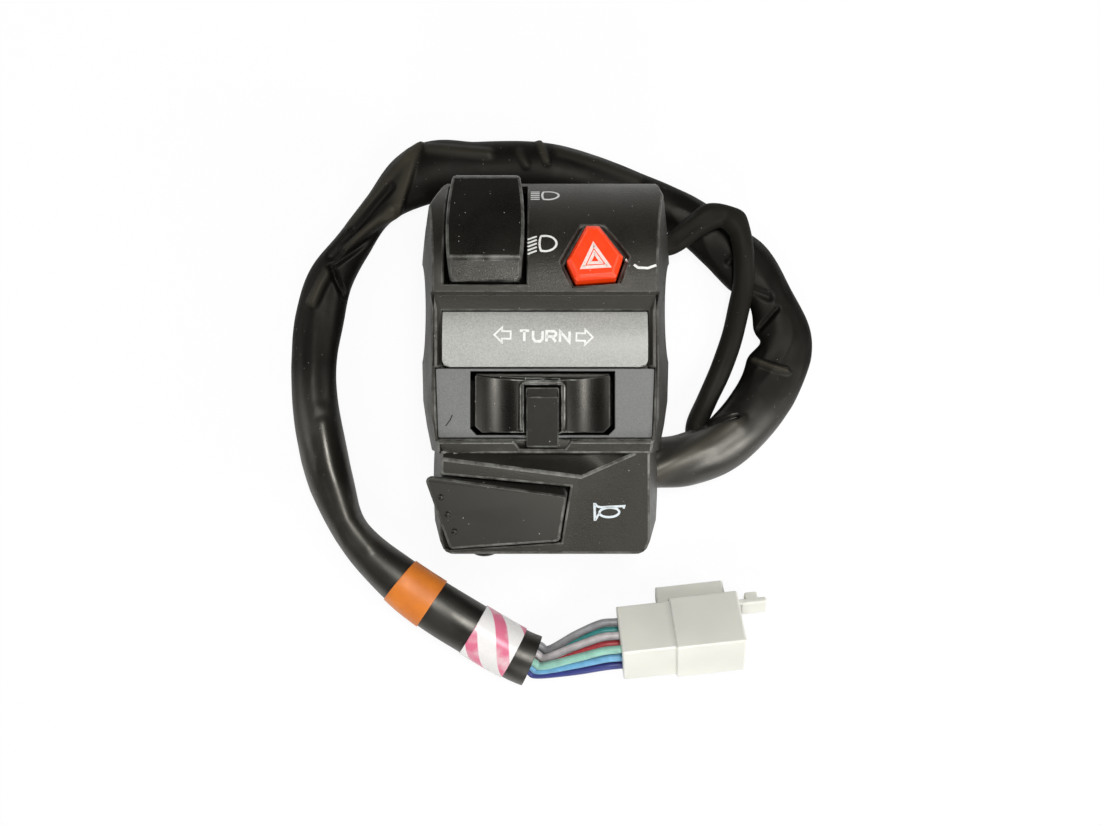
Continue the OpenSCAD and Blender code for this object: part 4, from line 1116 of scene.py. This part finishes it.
def turned_place(cx, cy, degrees=0.0):
    """A flat sign's place, from its own frame to the part's X and Y."""
    c, s = heading(math.radians(degrees))
    return lambda x, y: (cx + x * c - y * s, cy + x * s + y * c)


def crown_place(cx, cy):
    """A sign's place on the rounded crown, where its height follows the curve."""
    start = math.asin((cy - CROWN_Y) / CROWN_R)
    return lambda x, y: (cx + x, CROWN_Y + CROWN_R * math.sin(start + y / CROWN_R))


def lamp_outline():
    """The lamp of a beam sign: a bowed back and a round nose."""
    nose = oval(0.2, 0, 2.3, 1.72, 90, -90, 24)
    back = oval(-0.4, 0, 0.5, 1.72, -90, -270, 10)
    return nose + back[1:-1]


def draw_beam(layer, slope):
    """A lamp with five rays, level or dipped."""
    layer.ribbon(lamp_outline(), 0.44, closed=True)
    for y in (1.6, 0.8, 0.0, -0.8, -1.6):
        layer.ribbon([(-1.45, y), (-3.3, y - slope)], 0.36)


def draw_triangles(layer):
    """The two nested triangles of the hazard sign."""
    corners = [(-0.3, 2.35), (-3.0, -3.4), (3.35, -3.0)]
    middle = (0.02, -1.35)
    for size, width in ((0.82, 0.66), (0.38, 0.58)):
        ring = [(middle[0] + (x - middle[0]) * size, middle[1] + (y - middle[1]) * size) for x, y in corners]
        layer.ribbon(ring, width, closed=True)


def draw_arrow(layer, x, y, way):
    """A hollow arrow."""
    shape = [(-1.7, 0), (-0.15, 1.5), (-0.15, 0.75), (1.6, 0.75), (1.6, -0.75), (-0.15, -0.75), (-0.15, -1.5)]
    layer.ribbon([(x + way * px, y + py) for px, py in shape], 0.36, closed=True)


def draw_turn_legend(layer):
    """The function word between two arrows, in plain strokes."""
    tall = 1.05
    wide = 0.95
    strokes = [
        [[(-wide, tall), (wide, tall)], [(0, tall), (0, -tall)]],
        [[(-wide, tall), (-wide, -0.5), (-0.5, -tall), (0.5, -tall), (wide, -0.5), (wide, tall)]],
        [
            [(-wide, -tall), (-wide, tall), (0.55, tall), (wide, 0.7), (wide, 0.3), (0.55, -0.05),
             (-wide, -0.05)],
            [(0.1, -0.05), (wide, -tall)],
        ],
        [[(-wide, -tall), (-wide, tall), (wide, -tall), (wide, tall)]],
    ]
    for index, letter in enumerate(strokes):
        shift = -4.05 + 2.7 * index
        for stroke in letter:
            layer.ribbon([(shift + x, y) for x, y in stroke], 0.52)
    draw_arrow(layer, -8.4, 0.1, 1)
    draw_arrow(layer, 8.0, 0.0, -1)


def draw_horn(layer):
    """A bugle with its coil, bell to the left."""
    layer.ribbon([(-2.85, 1.75), (-2.85, -1.8)], 0.5)
    layer.ribbon([(-2.75, 1.6), (-2.3, 1.05), (-1.6, 0.85), (3.15, 0.9), (3.0, 0.4)], 0.44)
    layer.ribbon([(-2.75, -1.65), (-2.3, -0.9), (-1.75, -0.3)], 0.44)
    layer.ribbon(oval(0.1, -0.25, 2.0, 0.95, 30, 390, 30)[:-1], 0.46, closed=True)


# Operators, one for each group of pieces


class SWITCH_OT_stage(bpy.types.Operator):
    """Set the camera, the pale floor, the soft lights and the white surround."""

    bl_idname = "switch.stage"
    bl_label = "Stage"

    def execute(self, context):
        scene = context.scene
        scene.view_settings.view_transform = "Standard"
        view = bpy.data.cameras.new("camera")
        view.sensor_width = 36
        view.lens = scene.switch_camera.lens
        view.clip_start = 0.01
        camera = bpy.data.objects.new("camera", view)
        camera.location = scene.switch_camera.place
        scene.collection.objects.link(camera)
        scene.camera = camera
        self.floor(scene)
        self.surround(scene)
        for name, place, size, power in LAMPS:
            self.lamp(scene, name, place, size, power)
        return {"FINISHED"}

    def floor(self, scene):
        """A wide pale floor under the part."""
        bm = bmesh.new()
        bmesh.ops.create_grid(bm, x_segments=8, y_segments=8, size=FLOOR_HALF)
        bmesh.ops.translate(bm, verts=bm.verts, vec=(0, 0, FLOOR_Z - FLOOR_DROP))
        mesh = bpy.data.meshes.new("floor")
        bm.to_mesh(mesh)
        bm.free()
        floor = bpy.data.objects.new("floor", mesh)
        scene.collection.objects.link(floor)
        material = bpy.data.materials.new("pale_floor")
        material.use_nodes = True
        tree = material.node_tree
        shader = tree.nodes["Principled BSDF"]
        feed(tree, shader, Base_Color=(0.88, 0.88, 0.88, 1.0), Roughness=0.9, Specular_IOR_Level=0.0)
        glow = add(tree, "ShaderNodeEmission", Strength=1.0)
        both = tree.nodes.new("ShaderNodeMixShader")
        eye = tree.nodes.new("ShaderNodeLightPath").outputs["Is Camera Ray"]
        tree.links.new(times(tree, eye, FLOOR_GLOW), both.inputs[0])
        tree.links.new(shader.outputs[0], both.inputs[1])
        tree.links.new(glow.outputs[0], both.inputs[2])
        tree.links.new(both.outputs[0], tree.nodes["Material Output"].inputs[0])
        mesh.materials.append(material)

    def surround(self, scene):
        """A world that is white to the camera, dim overhead in mirrors and soft for all else."""
        world = bpy.data.worlds.new("surround")
        world.use_nodes = True
        tree = world.node_tree
        back = tree.nodes["Background"]
        back.inputs["Color"].default_value = (1.0, 1.0, 1.0, 1.0)
        around = tree.nodes.new("ShaderNodeTexCoord").outputs["Generated"]
        height = add(tree, "ShaderNodeSeparateXYZ", Vector=around).outputs["Z"]
        overhead = spread(tree, height, 0.05, 0.5, 0.5, 0.01)
        seen = tree.nodes.new("ShaderNodeLightPath").outputs
        mirror = seen["Is Glossy Ray"]
        sight = maths(tree, "MAXIMUM", mirror, seen["Is Transmission Ray"])
        glance = times(tree, sight, overhead)
        soft = times(tree, maths(tree, "SUBTRACT", 1.0, mirror), SOFT_LIGHT)
        plain = maths(tree, "MAXIMUM", glance, soft)
        feed(tree, back, Strength=maths(tree, "MAXIMUM", plain, seen["Is Camera Ray"]))
        scene.world = world

    def lamp(self, scene, name, place, size, power):
        """A soft square lamp that looks at the part."""
        data = bpy.data.lights.new(name, "AREA")
        data.size = size
        data.energy = power
        lamp = bpy.data.objects.new(name, data)
        lamp.location = place
        aim = LAMP_AIM - Vector(place)
        lamp.rotation_euler = aim.to_track_quat("-Z", "Y").to_euler()
        scene.collection.objects.link(lamp)


class SWITCH_OT_harness(bpy.types.Operator):
    """Make the main sleeve, the branch, the two tapes and the nine wires."""

    bl_idname = "switch.harness"
    bl_label = "Harness"

    def execute(self, context):
        look = context.scene.switch_harness
        wires = self.wires()
        tapes = [
            self.tape("orange_band", ORANGE_SPAN, "orange_tape", "tape_orange", "orange_tape", look),
            self.tape("striped_band", MARKER_SPAN, "striped_tape", "tape_white", "marker_tape", look),
        ]
        bm, line = sleeve_mesh(SLEEVE_ROUTE, sleeve_lump, look.steps, look.sides, SLEEVE_WALL)
        sleeve = new_piece("main_sleeve_skin", bm, finish_of("sleeve_vinyl"), "housing")
        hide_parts("main_sleeve")
        bm, line = sleeve_mesh(BRANCH_ROUTE, branch_lump, look.steps, look.sides // 2, 0)
        branch = new_piece("branch_sleeve_skin", bm, finish_of("branch_vinyl"), "housing")
        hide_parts("branch_sleeve")
        return {"FINISHED"}

    def tape(self, name, span, finish, slot, node, look):
        """A band of tape on the main sleeve."""
        bm = band_mesh(SLEEVE_ROUTE, span, sleeve_lump, look.steps * 2, look.sides, TAPE_UNDER, TAPE_OVER)
        band = new_piece(name, bm, finish_of(finish), "housing")
        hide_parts(node)
        return band

    def wires(self):
        """Nine wires in their colours."""
        facts = wire_tree()
        made = []
        for index, (label, colour) in enumerate(WIRE_COLOURS):
            route = [(p.x, p.y, p.z, 0, 0) for p in wire_route(index)]
            count = WIRE_STEPS * (len(route) - 1)
            line = [route_at(route, k / WIRE_STEPS)[0] * MM for k in range(count + 1)]
            finish = finish_of("wire_" + label)
            mesh = wire_mesh("wire_" + label, line, facts, finish)
            wire = place_mesh("wire_" + label, mesh, finish, "housing")
            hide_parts("wires")
            made.append((wire, line))
        return made


class SWITCH_OT_shells(bpy.types.Operator):
    """Dress the two shells, the legend panel and the rocker's surround."""

    bl_idname = "switch.shells"
    bl_label = "Shells and panels"

    def execute(self, context):
        width = context.scene.switch_finish.edge
        dress_node(
            "front_housing", "shell_black", "housing", width * 1.6, wear_and_highlight=shell_wear_and_highlight,
            segments=3, least=16.0, chosen=shell_rim,
        )
        dress_node("rear_housing", "shell_black", "housing", width)
        dress_node("legend_panel", "panel_satin", "housing", width * 0.7)
        dress_node("turn_bezel", "bezel_satin", "housing", width * 0.7)
        return {"FINISHED"}


class SWITCH_OT_caps(bpy.types.Operator):
    """Dress the rockers, the button, the knob and the paddle."""

    bl_idname = "switch.caps"
    bl_label = "Caps"

    def execute(self, context):
        width = context.scene.switch_finish.edge
        dress_node(
            "dimmer_rocker", "cap_black", "dimmer", width * 2.4, joined=True,
            segments=4, least=35.0, chosen=rocker_rim,
        )
        dress_node("turn_rocker", "cap_black", "turn", width, wear_and_highlight=hub_wear_and_highlight)
        dress_node("cancel_knob", "knob_black", "cancel", width)
        dress_node(
            "horn_paddle", "paddle_black", "horn", width * 1.8, joined=True,
            segments=3, least=35.0,
        )
        dress_node("hazard_button", "hazard_red", "hazard", width)
        return {"FINISHED"}


class SWITCH_OT_connector(bpy.types.Operator):
    """Finish the connector and its terminals."""

    bl_idname = "switch.connector"
    bl_label = "Connector"

    def execute(self, context):
        width = context.scene.switch_finish.edge
        dress_node(
            "connector_housing", "nylon_milky", "housing", width * 1.8, joined=True,
            segments=4, least=40.0,
        )
        paint_node("connector_terminals", finish_of("contact_brass"))
        return {"FINISHED"}


class SWITCH_OT_works(bpy.types.Operator):
    """Finish the pieces inside: pins, springs, contacts, carriers, screws and glands."""

    bl_idname = "switch.works"
    bl_label = "Works inside"

    finishes = {
        "zinc_steel": (
            "housing_screws", "carrier_screws", "dimmer_pin", "dimmer_spring", "hazard_spring", "turn_pins",
            "turn_springs", "cancel_spring", "horn_pin", "horn_spring",
        ),
        "contact_brass": (
            "dimmer_plunger", "dimmer_contacts", "hazard_contacts", "turn_wiper", "turn_contacts",
            "horn_bridge", "horn_contacts",
        ),
        "carrier_black": ("dimmer_carrier", "turn_carrier", "horn_carrier"),
        "switch_nylon": ("hazard_switch_body",),
        "rubber_black": ("harness_gland", "branch_gland"),
    }

    def execute(self, context):
        for finish, nodes in self.finishes.items():
            for node in nodes:
                paint_node(node, finish_of(finish))
        return {"FINISHED"}


class SWITCH_OT_signs(bpy.types.Operator):
    """Print the beam, hazard, turn and horn signs."""

    bl_idname = "switch.signs"
    bl_label = "Printed signs"

    def execute(self, context):
        high = SignLayer("front_housing", crown_place(0.3, 23.6))
        draw_beam(high, 0.0)
        high.piece("high_beam_sign", "sign_white", "housing", "panel_grey")
        low = SignLayer("front_housing", crown_place(-0.2, 12.6))
        draw_beam(low, 0.75)
        low.piece("low_beam_sign", "sign_white", "housing", "panel_grey")
        hazard = SignLayer("hazard_button", turned_place(9.9, 10.4))
        draw_triangles(hazard)
        hazard.piece("hazard_sign", "sign_rosy", "hazard", "panel_grey")
        legend = SignLayer("legend_panel", turned_place(-0.1, -6.1, -1.2))
        draw_turn_legend(legend)
        legend.piece("turn_legend", "sign_white", "housing", "panel_grey")
        horn = SignLayer("front_housing", turned_place(12.8, -41.2, 1.5))
        draw_horn(horn)
        horn.piece("horn_sign", "sign_pale", "housing", "panel_grey")
        marks = SignLayer("front_housing", turned_place(0, 0))
        marks.ribbon([(17.8, 8.2), (18.6, 7.6), (20.6, 7.5), (22.3, 8.1)], 0.5)
        marks.ribbon([(16.3, 9.5), (16.5, 8.7)], 0.34)
        marks.piece("paint_marks", "sign_white", "housing", "panel_grey")
        scratch = SignLayer("turn_bezel", turned_place(0, 0))
        scratch.ribbon([(-18.7, -21.9), (-19.1, -22.9), (-20, -24.1)], 0.22)
        scratch.piece("bezel_scratch", "scuff_dark", "housing", "bezel_grey")
        return {"FINISHED"}


class SWITCH_PT_parts(bpy.types.Panel):
    """Lists what the switch is dressed with."""

    bl_idname = "SWITCH_PT_parts"
    bl_label = "Switch cluster"
    bl_space_type = "VIEW_3D"
    bl_region_type = "UI"
    bl_category = "Switch"

    def draw(self, context):
        layout = self.layout
        for group in (context.scene.switch_camera, context.scene.switch_harness, context.scene.switch_finish):
            box = layout.box()
            for key in group.__annotations__:
                box.prop(group, key)
        for operator in OPERATORS:
            layout.operator(operator.bl_idname)


OPERATORS = (
    SWITCH_OT_stage,
    SWITCH_OT_shells,
    SWITCH_OT_caps,
    SWITCH_OT_connector,
    SWITCH_OT_harness,
    SWITCH_OT_works,
    SWITCH_OT_signs,
)
CLASSES = (SwitchCamera, SwitchHarness, SwitchFinish) + OPERATORS + (SWITCH_PT_parts,)


def register():
    """Adds the classes and the scene's settings."""
    for item in CLASSES:
        bpy.utils.register_class(item)
    bpy.types.Scene.switch_camera = PointerProperty(type=SwitchCamera)
    bpy.types.Scene.switch_harness = PointerProperty(type=SwitchHarness)
    bpy.types.Scene.switch_finish = PointerProperty(type=SwitchFinish)


def unregister():
    """Takes the settings and the classes away."""
    del bpy.types.Scene.switch_finish
    del bpy.types.Scene.switch_harness
    del bpy.types.Scene.switch_camera
    for item in reversed(CLASSES):
        bpy.utils.unregister_class(item)


def main():
    """Registers the add-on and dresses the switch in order."""
    register()
    bpy.ops.switch.stage()
    bpy.ops.switch.shells()
    bpy.ops.switch.caps()
    bpy.ops.switch.connector()
    bpy.ops.switch.harness()
    bpy.ops.switch.works()
    bpy.ops.switch.signs()


if __name__ == "__main__":
    main()
